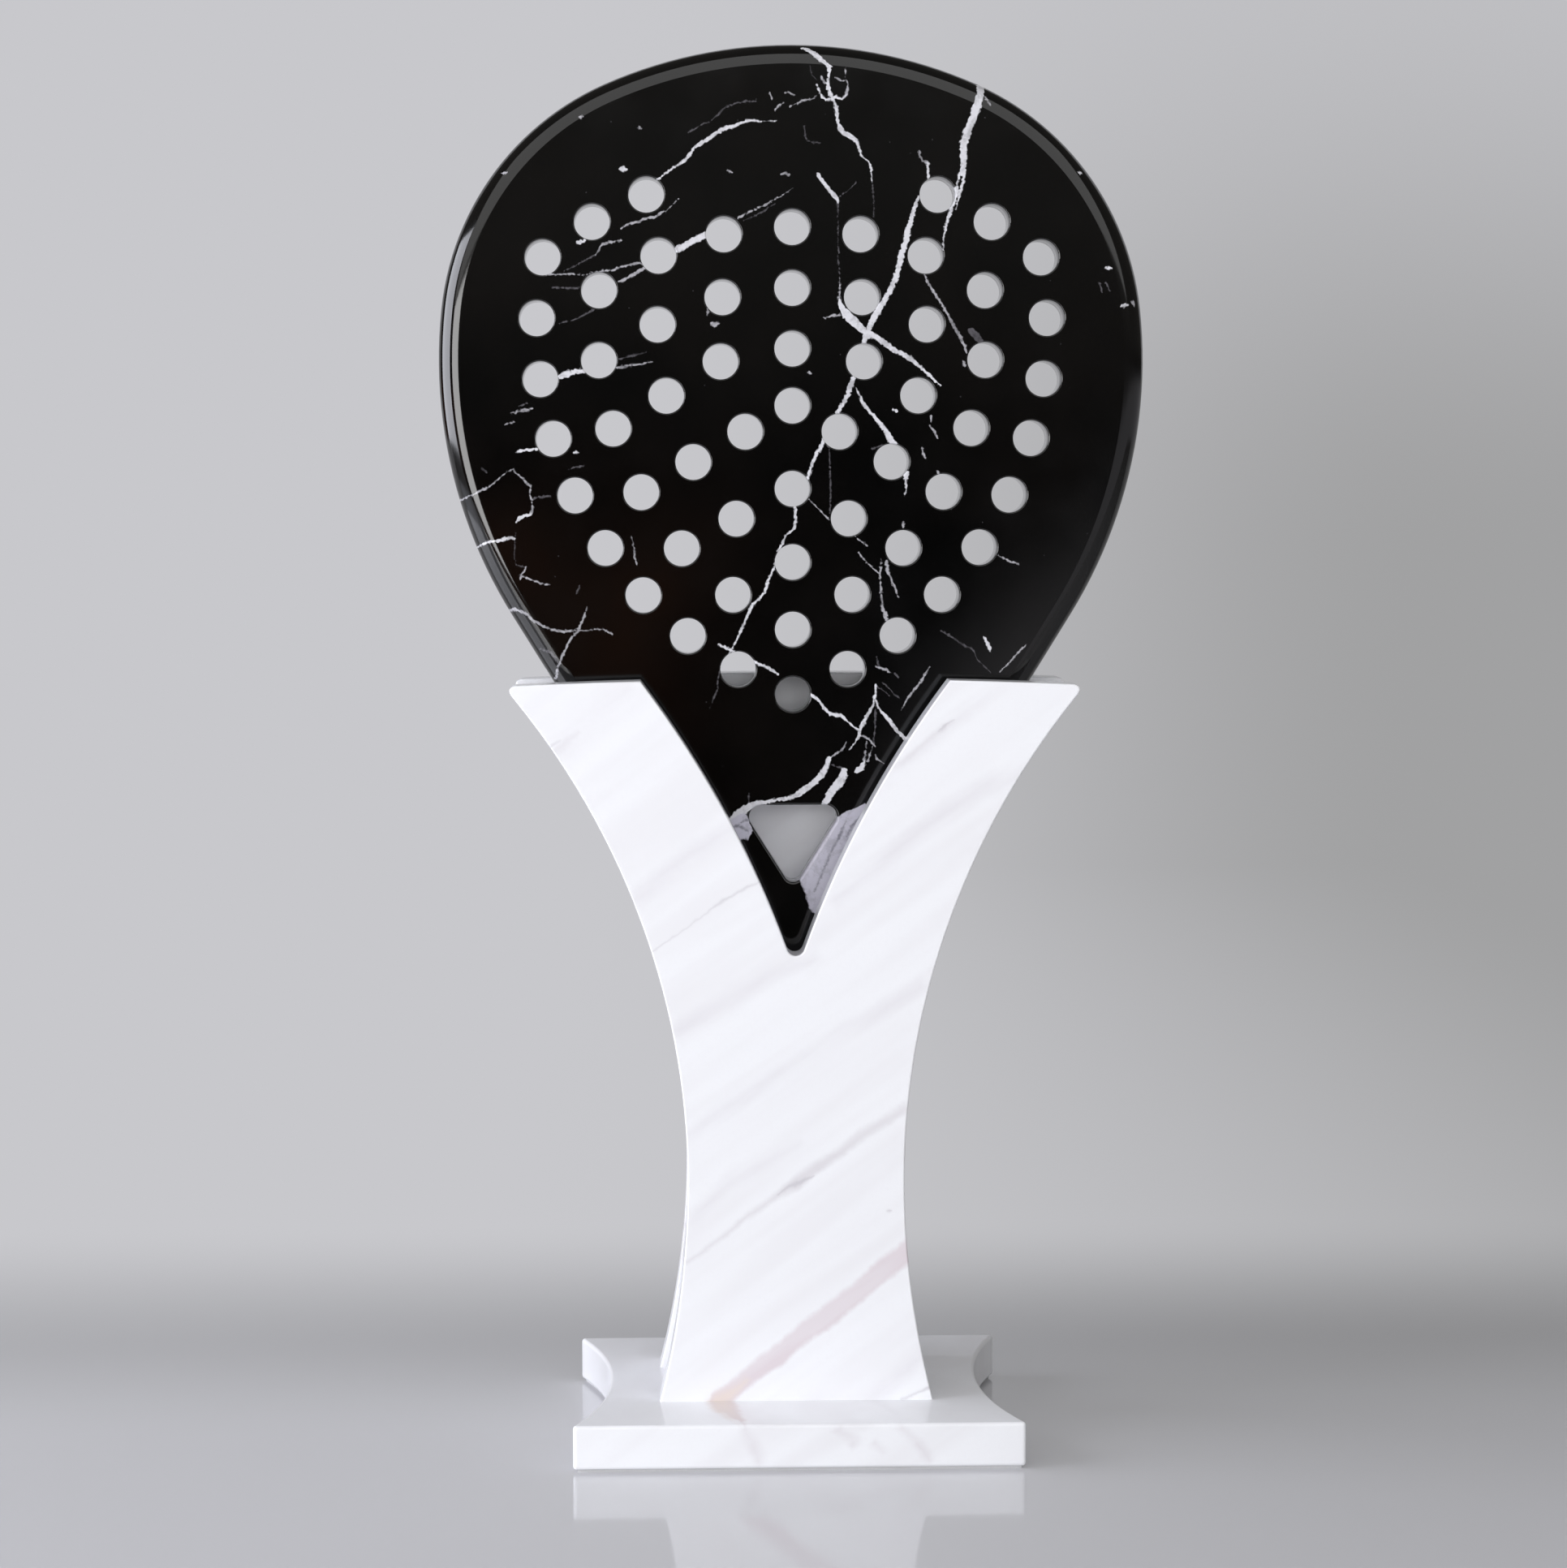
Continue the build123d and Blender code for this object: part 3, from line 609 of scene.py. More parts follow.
# Thinner cracks, less filled
MIDDLE_VEINS = {
    "tangle_right": ((1034, 82, 2), (1034, 97, 2), (1037, 103, 2), (1036, 110, 4), (1034, 118, 5)),
    "tangle_bar": ((1022, 95, 2), (1028, 98, 2), (1036, 99, 2)),
    "tangle_speck": ((1005, 93, 3), (1006, 97, 5), (1009, 103, 4)),
    "crown_hook": ((966, 132, 2), (975, 127, 3), (982, 124, 4), (992, 122, 3), (998, 118, 2)),
    "crown_tick": ((941, 115, 3), (944, 123, 2)),
    "crown_second_tick": ((948, 136, 3), (953, 130, 4), (958, 127, 2)),
    "crown_third_tick": ((958, 115, 2), (964, 114, 3), (971, 117, 2)),
    "crown_left_tail": (
        (760, 284, 3), (770, 278, 3), (780, 276, 4), (792, 271, 4), (800, 270, 4), (805, 266, 4), (815, 262, 3),
        (822, 255, 2), (830, 247, 1)),
    "left_upper": ((728, 317, 2), (736, 305, 4), (745, 301, 4), (760, 298, 3)),
    "left_middle": (
        (668, 342, 2), (690, 341, 2), (715, 341, 3), (730, 339, 3), (738, 336, 3), (748, 336, 3), (760, 331, 3),
        (772, 328, 4), (782, 326, 4), (790, 329, 3)),
    "left_lower": ((757, 350, 3), (765, 347, 4), (775, 341, 5), (783, 336, 5), (792, 331, 5)),
    "left_stub_branch": (
        (903, 270, 3), (912, 264, 4), (922, 260, 3), (936, 254, 3), (945, 248, 3), (955, 243, 2), (970, 232, 1)),
    "left_row": ((757, 456, 4), (768, 453, 4), (780, 452, 3), (790, 450, 3), (800, 448, 1)),
    "left_thread_top": ((627, 513, 3), (636, 511, 4), (645, 509, 4), (653, 507, 3)),
    "left_thread_low": ((619, 527, 1), (624, 525, 3), (630, 524, 4)),
    "right_tick_top": ((1126, 184, 3), (1126, 190, 4), (1130, 196, 4)),
    "right_tick_bar": ((1129, 196, 4), (1137, 199, 4)),
    "right_edge_tick": ((1208, 115, 3), (1210, 121, 5), (1214, 127, 2)),
    "right_bow": (
        (1134, 337, 3), (1139, 347, 4), (1147, 360, 4), (1157, 374, 4), (1165, 388, 4), (1172, 400, 5),
        (1179, 412, 5), (1184, 422, 4), (1187, 432, 3)),
    "right_bow_foot": ((1183, 441, 3), (1185, 448, 5)),
    "crossing_top": ((1030, 340, 2), (1030, 358, 3), (1030, 375, 5)),
    "middle_bar": ((1010, 391, 3), (1016, 391, 3), (1022, 388, 5), (1031, 388, 3)),
    "right_short_top": ((1145, 510, 3), (1145, 518, 2)),
    "right_short": ((1143, 522, 3), (1148, 528, 4), (1153, 538, 3)),
    "right_thread": ((1133, 550, 3), (1135, 556, 3), (1138, 562, 4)),
    "centre_drop": ((996, 615, 3), (1003, 623, 2), (1010, 630, 2), (1018, 637, 3), (1021, 640, 2)),
    "low_tick": ((1053, 660, 2), (1060, 666, 2), (1068, 672, 3)),
    "low_slant": ((1057, 680, 2), (1064, 688, 3), (1070, 695, 3), (1078, 702, 3), (1083, 706, 3)),
    "low_drop": (
        (1085, 688, 2), (1084, 700, 3), (1084, 715, 3), (1086, 735, 3), (1088, 748, 5), (1091, 757, 6),
        (1093, 764, 5)),
    "low_drop_branch": ((1091, 690, 4), (1093, 702, 4), (1098, 712, 4), (1103, 725, 3), (1107, 735, 1)),
    "right_low_dash": ((1229, 681, 2), (1238, 686, 3), (1246, 690, 4), (1255, 692, 2)),
    "right_low_rise": ((1265, 791, 1), (1258, 797, 3), (1249, 808, 3), (1233, 825, 3)),
    "left_arch_rise": (
        (567, 619, 3), (580, 615, 3), (590, 609, 4), (602, 604, 3), (612, 595, 2), (622, 585, 2), (631, 581, 3)),
    "left_arch_step": (
        (630, 580, 2), (633, 586, 3), (638, 590, 3), (642, 593, 3), (645, 597, 4), (649, 601, 4), (653, 604, 3)),
    "left_arch_fall": ((653, 602, 3), (651, 610, 3), (653, 620, 2), (655, 628, 3), (654, 634, 4), (652, 638, 4)),
    "left_zig": ((647, 702, 3), (645, 708, 3), (641, 712, 4), (641, 718, 3)),
    "left_zag": ((641, 713, 4), (648, 716, 3), (655, 719, 2), (660, 720, 2), (665, 723, 3), (676, 724, 2)),
    "left_low_run": (
        (627, 754, 3), (635, 753, 4), (645, 758, 4), (650, 761, 4), (658, 769, 4), (668, 775, 4), (680, 779, 4),
        (695, 781, 4), (710, 780, 3), (725, 780, 2), (737, 778, 2), (745, 779, 3), (755, 784, 3)),
    "left_low_fall": (
        (723, 751, 2), (720, 762, 4), (715, 773, 4), (711, 781, 4), (703, 792, 4), (696, 806, 4), (691, 818, 4),
        (688, 828, 4), (689, 838, 4)),
    "left_low_short": ((776, 662, 1), (779, 675, 2), (781, 685, 3), (784, 699, 2)),
    "throat_stem": ((1070, 912, 2), (1068, 925, 3), (1066, 937, 4)),
    "throat_second_stem": ((1078, 915, 2), (1074, 928, 3), (1071, 938, 3)),
    "throat_bar": ((1060, 905, 3), (1068, 907, 4), (1074, 912, 4), (1080, 918, 3)),
    "throat_spur": ((1045, 914, 3), (1040, 922, 3), (1033, 928, 3), (1027, 931, 3)),
    "throat_side": ((1080, 820, 3), (1086, 822, 4), (1092, 824, 4), (1099, 828, 2)),
    "throat_right": (
        (1146, 820, 2), (1141, 828, 3), (1137, 837, 4), (1130, 845, 4), (1122, 855, 4), (1116, 865, 3),
        (1112, 873, 1)),
    "throat_right_low": ((1080, 928, 2), (1083, 934, 4), (1091, 939, 2)),
    "spot_shoulder": ((706, 147, 2), (709, 147, 5), (712, 147, 2)),
    "spot_edge": ((613, 216, 2), (616, 216, 6), (619, 216, 2)),
    "spot_upper": ((778, 160, 2), (781, 160, 5), (784, 160, 2)),
    "spot_crown": ((956, 215, 4), (960, 214, 4), (966, 215, 4)),
    "spot_crown_left": ((889, 211, 2), (893, 212, 5), (896, 214, 2)),
    "spot_middle_left": ((991, 459, 2), (994, 459, 5), (997, 459, 2)),
    "spot_row": ((868, 381, 3), (868, 390, 4)),
    "spot_row_low": ((872, 400, 4), (877, 401, 8), (882, 399, 4)),
    "spot_edge_low": ((1391, 366, 3), (1396, 369, 7)),
    "spot_hole": ((1112, 641, 2), (1112, 645, 6), (1112, 649, 2)),
    "spot_hole_right": ((1153, 578, 2), (1154, 582, 5)),
}
# Hairlines
FAINT_VEINS = {
    "crown_arch": (
        (841, 165, 1), (860, 153, 2), (868, 151, 2), (878, 141, 3), (887, 133, 3), (900, 128, 3), (912, 125, 3),
        (924, 125, 2)),
    "crown_foot": ((984, 155, 2), (985, 168, 2), (988, 174, 2)),
    "crown_foot_bar": ((987, 173, 2), (996, 175, 3), (1004, 175, 1)),
    "crown_left_of_tangle": ((990, 80, 2), (993, 92, 2), (999, 98, 1)),
    "crown_middle_tail": ((1068, 222, 2), (1070, 240, 2), (1071, 266, 1)),
    "crown_branch_right": ((1029, 241, 2), (1038, 235, 2), (1048, 224, 1)),
    "crown_branch_tail": ((1027, 247, 3), (1027, 263, 2), (1027, 292, 2), (1028, 319, 2), (1030, 342, 2)),
    "left_rise": ((690, 337, 1), (705, 330, 2), (715, 324, 2), (728, 317, 3)),
    "left_line": ((676, 358, 1), (690, 358, 3), (705, 358, 3), (713, 356, 2)),
    "left_slope": ((685, 402, 1), (700, 398, 2), (715, 391, 2), (727, 385, 4)),
    "left_parallel": ((910, 272, 2), (924, 267, 2), (937, 259, 1), (950, 251, 1)),
    "left_row_top": ((760, 445, 3), (770, 442, 3), (778, 440, 3), (793, 436, 2)),
    "left_upper_thread": ((636, 504, 2), (646, 501, 3)),
    "left_side_thread": ((655, 619, 2), (662, 616, 3), (670, 615, 3), (677, 615, 1)),
    "left_zig_top": ((634, 660, 1), (633, 685, 2), (634, 698, 2)),
    "left_zig_bar": ((635, 700, 2), (642, 702, 3), (647, 703, 3)),
    "left_low_tick": ((714, 724, 2), (710, 735, 3)),
    "left_brown_dash": ((698, 582, 3), (708, 579, 3), (718, 577, 2)),
    "left_fleck": ((591, 581, 3), (594, 584, 5), (597, 587, 3)),
    "left_smear": ((668, 802, 2), (680, 808, 5), (687, 816, 5), (690, 822, 2)),
    "centre_thread": (
        (1013, 543, 2), (1019, 552, 2), (1020, 570, 2), (1021, 590, 2), (1022, 610, 2), (1021, 632, 2)),
    "right_smear": ((1192, 403, 7), (1196, 408, 10), (1202, 416, 9), (1206, 421, 5)),
    "right_hole_arc": ((1072, 552, 3), (1082, 548, 2), (1094, 547, 2)),
    "right_low_thread": (
        (1160, 775, 1), (1172, 782, 3), (1184, 790, 3), (1192, 794, 3), (1200, 799, 3), (1206, 811, 2),
        (1221, 825, 2)),
    "right_cluster_left": ((1350, 344, 3), (1354, 356, 3)),
    "right_cluster_right": ((1357, 344, 2), (1363, 354, 3)),
    "throat_stub": ((1081, 808, 2), (1083, 820, 3)),
    "throat_thread": ((1081, 868, 2), (1080, 885, 3), (1079, 900, 2), (1078, 916, 2)),
    "throat_side_low": ((1080, 843, 3), (1088, 849, 3), (1097, 856, 2)),
    "throat_side_middle": ((1088, 840, 2), (1098, 848, 3), (1106, 857, 3), (1110, 859, 1)),
    "throat_side_tick": ((1103, 829, 4), (1107, 833, 3)),
    "throat_join": ((1027, 942, 2), (1036, 945, 3), (1043, 947, 3)),
    "throat_mark": ((925, 978, 2), (926, 993, 3)),
    "throat_tail": ((890, 822, 2), (886, 835, 2), (885, 850, 2), (880, 862, 2), (875, 875, 1)),
}
# In the white stone, on the front panel: wide soft clouds drawn out into bands
SOFT_BANDS = {
    "waist_band": ((1005, 1182, 12), (960, 1196, 18), (900, 1230, 26), (838, 1270, 22)),
    "right_arm_low": ((1272, 948, 12), (1220, 968, 18), (1160, 1004, 20), (1100, 1052, 22), (1030, 1110, 16)),
    "left_arm_high": ((775, 850, 8), (735, 882, 14), (700, 916, 16), (680, 938, 10)),
    "left_arm_low": ((908, 1018, 8), (850, 1052, 14), (800, 1092, 16), (765, 1118, 10)),
    "middle_upper": ((985, 1412, 4), (950, 1428, 12), (900, 1455, 14), (865, 1490, 12), (850, 1505, 6)),
    "hip_band": ((1135, 1215, 10), (1080, 1250, 16), (1000, 1300, 22), (900, 1365, 20), (850, 1400, 12)),
    "right_corner": ((1142, 1668, 6), (1112, 1692, 14), (1075, 1724, 14)),
    "arm_streak": (
        (1240, 838, 6), (1200, 868, 10), (1165, 898, 12), (1130, 925, 12), (1100, 950, 9), (1070, 980, 4)),
}
# Clearer grey veins
GREY_BANDS = {
    "middle_band": (
        (1114, 1366, 12), (1060, 1400, 14), (1020, 1428, 12), (985, 1455, 16), (960, 1470, 9), (920, 1500, 6),
        (880, 1531, 5), (848, 1556, 3)),
    "right_streak": ((1172, 892, 5), (1150, 906, 6), (1125, 926, 6), (1100, 944, 4)),
    "left_streak": ((712, 904, 4), (698, 916, 10), (684, 928, 8)),
}
# The strong mauve band at the foot
MAUVE_BANDS = {
    "foot_band": (
        (1120, 1540, 28), (1085, 1569, 26), (1050, 1598, 24), (1010, 1629, 26), (985, 1648, 25), (950, 1675, 24),
        (915, 1702, 22), (878, 1732, 28)),
}
# Where the mauve band turns rusty
RUSTY_FOOT = {
    "foot_rust": ((920, 1700, 6), (900, 1716, 16), (882, 1728, 24), (868, 1736, 14)),
}
GREY_LINES = {
    "left_line": ((933, 1086, 3), (915, 1095, 5), (890, 1110, 4), (870, 1128, 3), (840, 1148, 3), (804, 1174, 2)),
    "middle_core": ((1004, 1448, 2), (988, 1455, 6), (972, 1463, 4), (958, 1471, 2)),
    "foot_line": ((1146, 1708, 5), (1130, 1714, 4), (1110, 1723, 4)),
    "left_speck": ((674, 923, 3), (682, 919, 5), (692, 914, 2)),
    "right_speck": ((1158, 901, 2), (1167, 895, 5), (1176, 888, 2)),
    "low_speck": ((1093, 1492, 3), (1096, 1492, 5), (1099, 1492, 3)),
}
# On the front face of the plinth
PLINTH_STREAKS = {
    "left_streak": ((918, 1762, 10), (926, 1778, 14), (932, 1792, 12), (936, 1806, 8)),
    "middle_blot": ((1036, 1764, 8), (1048, 1770, 14), (1050, 1780, 10)),
    "small_blot": ((1080, 1778, 6), (1085, 1785, 10), (1088, 1790, 4)),
    "right_streak": ((1112, 1762, 8), (1126, 1772, 10), (1138, 1786, 8), (1146, 1800, 6)),
}

# Veins are worked out in a square of stone this wide, with its corner here
STONE_SQUARE = 600.0
SQUARE_CORNER = (-300.0, 0.0)
# Slant of the cracks through the stone, sideways and upwards for each millimetre of depth
VEIN_SLANT = (0.32, 0.18)
# How far the edge of a crack frays, in mm
FRAY = 1.0
# One pixel of the photograph on the stones' front faces, in mm
PIXEL = 0.3
# The photograph's own blur widens every crack in it by about this many pixels
EDGE_BLUR = 1.5
THINNEST_CRACK_PX = 0.8
# A crack narrows to nothing over this many times the softness of its edge
END_TAPER = 3
# Between neighbouring points of a crack, in shares of the square, so that no slope is endless
LEAST_STEP = 1e-5

# How a crack strays from its line: (size of the swings, how far they go), in mm
BLACK_WANDER = ((7.0, 0.5), (1.4, 0.4))
WHITE_WANDER = ((14.0, 1.8), (3.0, 0.7))
# The white stone's bands climb to the right at this angle. Its clouds and streaks run along them,
# and are this long, deep and wide, in mm
BAND_CLIMB = radians(35)
CLOUD_SIZE = (150, 40, 13)
STREAK_SIZE = (45, 15, 7)

BLACK_STONE_IOR = 1.66
WHITE_STONE_IOR = 1.5
FELT_IOR = 1.5
FIBRE_WIDTH = 0.8
# Rings on turned metal, drawn this far apart in mm so that they show
RING_PITCH_ON_METAL = 3.14
# A wave texture of scale 1 draws this many rings in one unit
WAVE_RINGS = 20 / (2 * pi)


def sighted(px, py, face_y):
    """The point of an upright plane that the photograph shows at a pixel."""
    across = (px - IMAGE_CENTRE_PX[0]) / FOCAL_LENGTH_PX
    up = (IMAGE_CENTRE_PX[1] - py) / FOCAL_LENGTH_PX
    ray = Vector((across, up, -1))
    ray.rotate(CAMERA_TURN)
    return CAMERA_PLACE + ray * ((face_y - CAMERA_PLACE.y) / ray.y)


def on_racket(px, py):
    """The same on the racket's face, with the racket stood upright."""
    upright = Matrix.Rotation(RACKET_LEAN, 3, 'Y')
    return LEAN_PIVOT + upright @ (sighted(px, py, FRONT_OF_RACKET) - LEAN_PIVOT)


def on_panel(px, py):
    return sighted(px, py, FRONT_OF_PANEL)


def on_plinth(px, py):
    """The same on the plinth's front face, carried along the cracks to the panel's front."""
    point = sighted(px, py, -BASE_DEPTH / 2 * MM)
    depth = point.y - FRONT_OF_PANEL
    return point + Vector((VEIN_SLANT[0] * depth, 0, VEIN_SLANT[1] * depth))


def in_square(point):
    """Share of the stone's square, across and up."""
    return tuple((place / MM - corner) / STONE_SQUARE for place, corner in zip((point.x, point.z), SQUARE_CORNER))


def shape_curve(mapping, points):
    """Gives a Float Curve these points, held level beyond its ends."""
    mapping.clip_min_y = -1
    mapping.extend = 'HORIZONTAL'
    curve = mapping.curves[0]
    for i, (x, y) in enumerate(points):
        point = curve.points[i] if i < 2 else curve.points.new(x, y)
        point.location = (x, y)
        point.handle_type = 'VECTOR'
    mapping.clip_min_x = points[0][0]
    mapping.clip_max_x = points[-1][0]
    mapping.update()


def read_curve(tree, value, points):
    outputs = put(tree, "FloatCurve", {"Value": value})
    shape_curve(outputs[0].node.mapping, points)
    return outputs[0]


def vein_depth(tree, square, run, see, soft):
    """How far inside a vein a point lies, negative outside it, in shares of the square."""
    places = [in_square(see(px, py)) for px, py, _ in run]
    widths = [max(w - EDGE_BLUR, THINNEST_CRACK_PX) * PIXEL / STONE_SQUARE for _, _, w in run]
    upright = abs(places[-1][1] - places[0][1]) >= abs(places[-1][0] - places[0][0])
    rows = sorted((*(place[::-1] if upright else place), w) for place, w in zip(places, widths))
    spreads = []
    for i, (level, _, width) in enumerate(rows):
        before = rows[max(i - 1, 0)]
        after = rows[min(i + 1, len(rows) - 1)]
        slope = (after[1] - before[1]) / max(after[0] - before[0], LEAST_STEP)
        spreads.append((level, width / 2 * hypot(1, slope)))
    taper = END_TAPER * soft
    spreads = [(rows[0][0] - taper, -taper)] + spreads + [(rows[-1][0] + taper, -taper)]
    along, across = square[::-1] if upright else square
    centre = read_curve(tree, along, [row[:2] for row in rows])
    spread = read_curve(tree, along, spreads)
    off = calc(tree, 'ABSOLUTE', calc(tree, 'SUBTRACT', across, centre))
    return calc(tree, 'SUBTRACT', spread, off)


def vein_mask(tree, square, runs, see, soft_mm, ragged=None):
    """1 inside the veins and 0 outside, with an edge as soft as soft_mm. Ragged, a noise, frays it."""
    soft = soft_mm / STONE_SQUARE
    deepest = None
    for run in runs.values():
        depth = vein_depth(tree, square, run, see, soft)
        deepest = depth if deepest is None else calc(tree, 'MAXIMUM', deepest, depth)
    if ragged:
        frayed = calc(tree, 'MULTIPLY_ADD', ragged, 2 * FRAY / STONE_SQUARE, -FRAY / STONE_SQUARE)
        deepest = calc(tree, 'ADD', deepest, frayed)
    return soft_ramp(tree, deepest, (-soft, soft))


def millimetres(tree):
    """Object coordinates in mm."""
    place = put(tree, "TexCoord")["Object"]
    return put(tree, "VectorMath", {0: place, "Scale": 1 / MM}, operation='SCALE')["Vector"]


def stone_square(tree, front_y, wander):
    """Object coordinates in mm, and the place in the stone's square, across and up, with the
    ragged wander of a crack."""
    mm = millimetres(tree)
    moved = mm
    for swing, reach in wander:
        rough = noise(tree, mm, swing, detail=3, roughness=0.6)["Color"]
        centred = put(tree, "VectorMath", {0: rough, 1: (0.5, 0.5, 0.5)}, operation='SUBTRACT')["Vector"]
        moved = put(tree, "VectorMath", {0: centred, 1: (2 * reach,) * 3, 2: moved},
                    operation='MULTIPLY_ADD')["Vector"]
    split = put(tree, "SeparateXYZ", {"Vector": moved})
    depth = calc(tree, 'SUBTRACT', split["Y"], front_y / MM)
    square = []
    for axis, slant, corner in zip("XZ", VEIN_SLANT, SQUARE_CORNER):
        carried = calc(tree, 'MULTIPLY_ADD', depth, slant, split[axis])
        square.append(calc(tree, 'MULTIPLY_ADD', carried, 1 / STONE_SQUARE, -corner / STONE_SQUARE))
    return mm, tuple(square)


def lay_veins(tree, square, ground, layers, strength, strong, ragged=None):
    """Lays layers of veins over the ground. Each layer is (runs, where they lie, colour, softness
    of the edge in mm, share of the colour where the strength noise is low and high)."""
    for runs, see, colour, soft, shares in layers:
        mask = vein_mask(tree, square, runs, see, soft, ragged)
        share = calc(tree, 'MULTIPLY', mask, ramp(tree, strength, strong, shares))
        ground = tint(tree, ground, share, colour)
    return ground


def black_marble():
    """Nero Marquina marble, a black limestone with white calcite veins, ground and polished: near
    black with a faint brown cloud, sharp bright veins of uneven strength, and a mirror gloss."""
    material, tree = new_material("polished_nero_marquina_marble")
    mm, square = stone_square(tree, FRONT_OF_RACKET, BLACK_WANDER)
    cloud = noise(tree, mm, 70, detail=3, roughness=0.55)[0]
    ground = tint(tree, "#040404", ramp(tree, cloud, (0.42, 0.75)), "#0c0a09")
    flecks = put(tree, "TexVoronoi", {"Vector": mm, "Scale": 1 / 9, "Randomness": 1.0})["Distance"]
    ground = tint(tree, ground, ramp(tree, flecks, (0.035, 0.015), (0, 0.15)), "#8c8b90")
    strength = noise(tree, mm, 5, detail=5, roughness=0.75)[0]
    ragged = noise(tree, mm, 1.1, detail=3, roughness=0.6)[0]
    layers = ((FAINT_VEINS, on_racket, "#5d5b60", 0.3, (0.3, 0.9)),
              (MIDDLE_VEINS, on_racket, "#aeadb3", 0.25, (0.45, 1)),
              (BRIGHT_VEINS, on_racket, "#dddde3", 0.22, (0.65, 1)),
              (PALE_PATCHES, on_racket, "#cccad8", 0.5, (0.8, 1)),
              (PATCH_STREAKS, on_racket, "#8b8a95", 0.6, (0.5, 1)))
    ground = lay_veins(tree, square, ground, layers, strength, (0.38, 0.52), ragged)
    gloss = noise(tree, mm, 25, detail=2)[0]
    principled(tree, {"Base Color": ground, "Roughness": ramp(tree, gloss, (0.3, 0.7), (0.05, 0.1)),
                      "IOR": BLACK_STONE_IOR})
    return material


def white_marble():
    """Fine-grained white marble such as Volakas, ground and polished: almost white, its faint grey
    clouds drawn out into bands that climb to the right, with a mauve band and a few grey veins."""
    material, tree = new_material("polished_white_marble")
    mm, square = stone_square(tree, FRONT_OF_PANEL, WHITE_WANDER)
    level = put(tree, "VectorRotate", {"Vector": mm, "Angle": BAND_CLIMB}, rotation_type='Y_AXIS')[0]
    drawn, fine = (put(tree, "VectorMath", {0: level, 1: [1 / side for side in size]}, operation='MULTIPLY')[0]
                   for size in (CLOUD_SIZE, STREAK_SIZE))
    cloud = noise(tree, drawn, 1, detail=2, distortion=0.3)[0]
    ground = tint(tree, "#f4f5f9", soft_ramp(tree, cloud, (0.35, 0.7)), "#efeff3")
    grain = noise(tree, mm, 1.2, detail=2)[0]
    ground = tint(tree, ground, ramp(tree, grain, (0.5, 0.8), (0, 0.3)), "#efeef3")
    streaks = noise(tree, fine, 1, detail=2)[0]
    layers = ((SOFT_BANDS, on_panel, "#e8e7ec", 5.0, (0.3, 1)),
              (GREY_BANDS, on_panel, "#e1dfe4", 1.8, (0.5, 1)),
              (MAUVE_BANDS, on_panel, "#dfd5db", 1.6, (0.75, 1)),
              (RUSTY_FOOT, on_panel, "#e5dad6", 3.0, (0.5, 1)),
              (GREY_LINES, on_panel, "#d0ced4", 0.7, (0.5, 1)),
              (PLINTH_STREAKS, on_plinth, "#e4e1e6", 3.0, (0.5, 1)))
    ground = lay_veins(tree, square, ground, layers, streaks, (0.38, 0.62))
    principled(tree, {"Base Color": ground, "Roughness": 0.18, "IOR": WHITE_STONE_IOR})
    return material


def pressed_felt():
    """Pale grey wool felt, pressed: matt, with a tangle of fibres about 0.3 mm across. The fibres are
    drawn 0.8 mm wide so that they show."""
    material, tree = new_material("pressed_wool_felt")
    fibres = noise(tree, millimetres(tree), FIBRE_WIDTH, detail=4, roughness=0.7, distortion=1.5)[0]
    bump = put(tree, "Bump", {"Height": fibres, "Strength": 0.6, "Distance": 0.3 * MM})[0]
    principled(tree, {"Base Color": tint(tree, "#c0c0c2", fibres, "#d6d6d8"), "Roughness": 0.95,
                      "IOR": FELT_IOR, "Normal": bump})
    return material


def turned_metal(name, colour, dark, roughness):
    """Turned bar, with the soft rings that the tool leaves, drawn much wider apart than they are."""
    material, tree = new_material(name)
    scale = 1 / (RING_PITCH_ON_METAL * WAVE_RINGS)
    rings = put(tree, "TexWave", {"Vector": millimetres(tree), "Scale": scale, "Distortion": 1.0,
                                  "Detail": 2.0}, bands_direction='Z')["Fac"]
    bump = put(tree, "Bump", {"Height": rings, "Strength": 0.2, "Distance": 0.05 * MM})[0]
    principled(tree, {"Base Color": tint(tree, dark, rings, colour), "Metallic": 1.0,
                      "Roughness": roughness, "Normal": bump})
    return material


def dress_nodes(materials):
    """Gives the CAD parts that keep their shape the material of their slot."""
    for part in frame["record"]["subparts"]:
        slots = frame["nodes"][part["node"]].data.materials
        slots.clear()
        slots.append(materials[part["material_slot"]])


# Studio, in metres

ROOM_HALF_WIDTH = 3.0
ROOM_FRONT = -1.3
ROOM_BACK = 2.2
WALL_HEIGHT = 2.6
# The table turns to wall paint between these distances back, so that no edge shows
TABLE_FADE = (0.12, 0.40)
# Painted shade: the table is painted darker between these distances back, towards the wall
LACQUER_PAINTED_SHADE = (-0.02, 0.16)
LACQUER_ROUGHNESS = 0.08
LACQUER_IOR = 2.2
# Painted shade on the wall: it is painted darker to the right, away from the lamps on the left, and lower down
WALL_PAINTED_SHADE_RIGHTWARDS = (-0.15, 0.7)
WALL_PAINTED_SHADE_DOWNWARDS = (0.9, 0.3)
LEFT_RIM = (-0.13, 0, 0.39)

# The room that the polished black face mirrors, in parts of a unit direction. Below the eye's
# level it shows a pale thing on the right, with a slanting left side, and brown ones on the left.
BELOW_EYE = (0.03, -0.02)
SHEEN_SLANT = 1.2
SHEEN_SIDE = (0.1, 0.16)
SHEEN_FROM = (0.055, 0.085)
SHEEN_STRENGTH = 0.4
BROWN_FROM = (0.03, -0.02)
BROWN_PATCHES = (0.42, 0.62)
BROWN_PATCH_SIZE = 1 / 22
BROWN_STRENGTH = 0.55
ABOVE_EYE = (0.0, 0.09)
ROOM_LIGHT = (0.01, 0.1)
PLAIN_GREY = 0.6


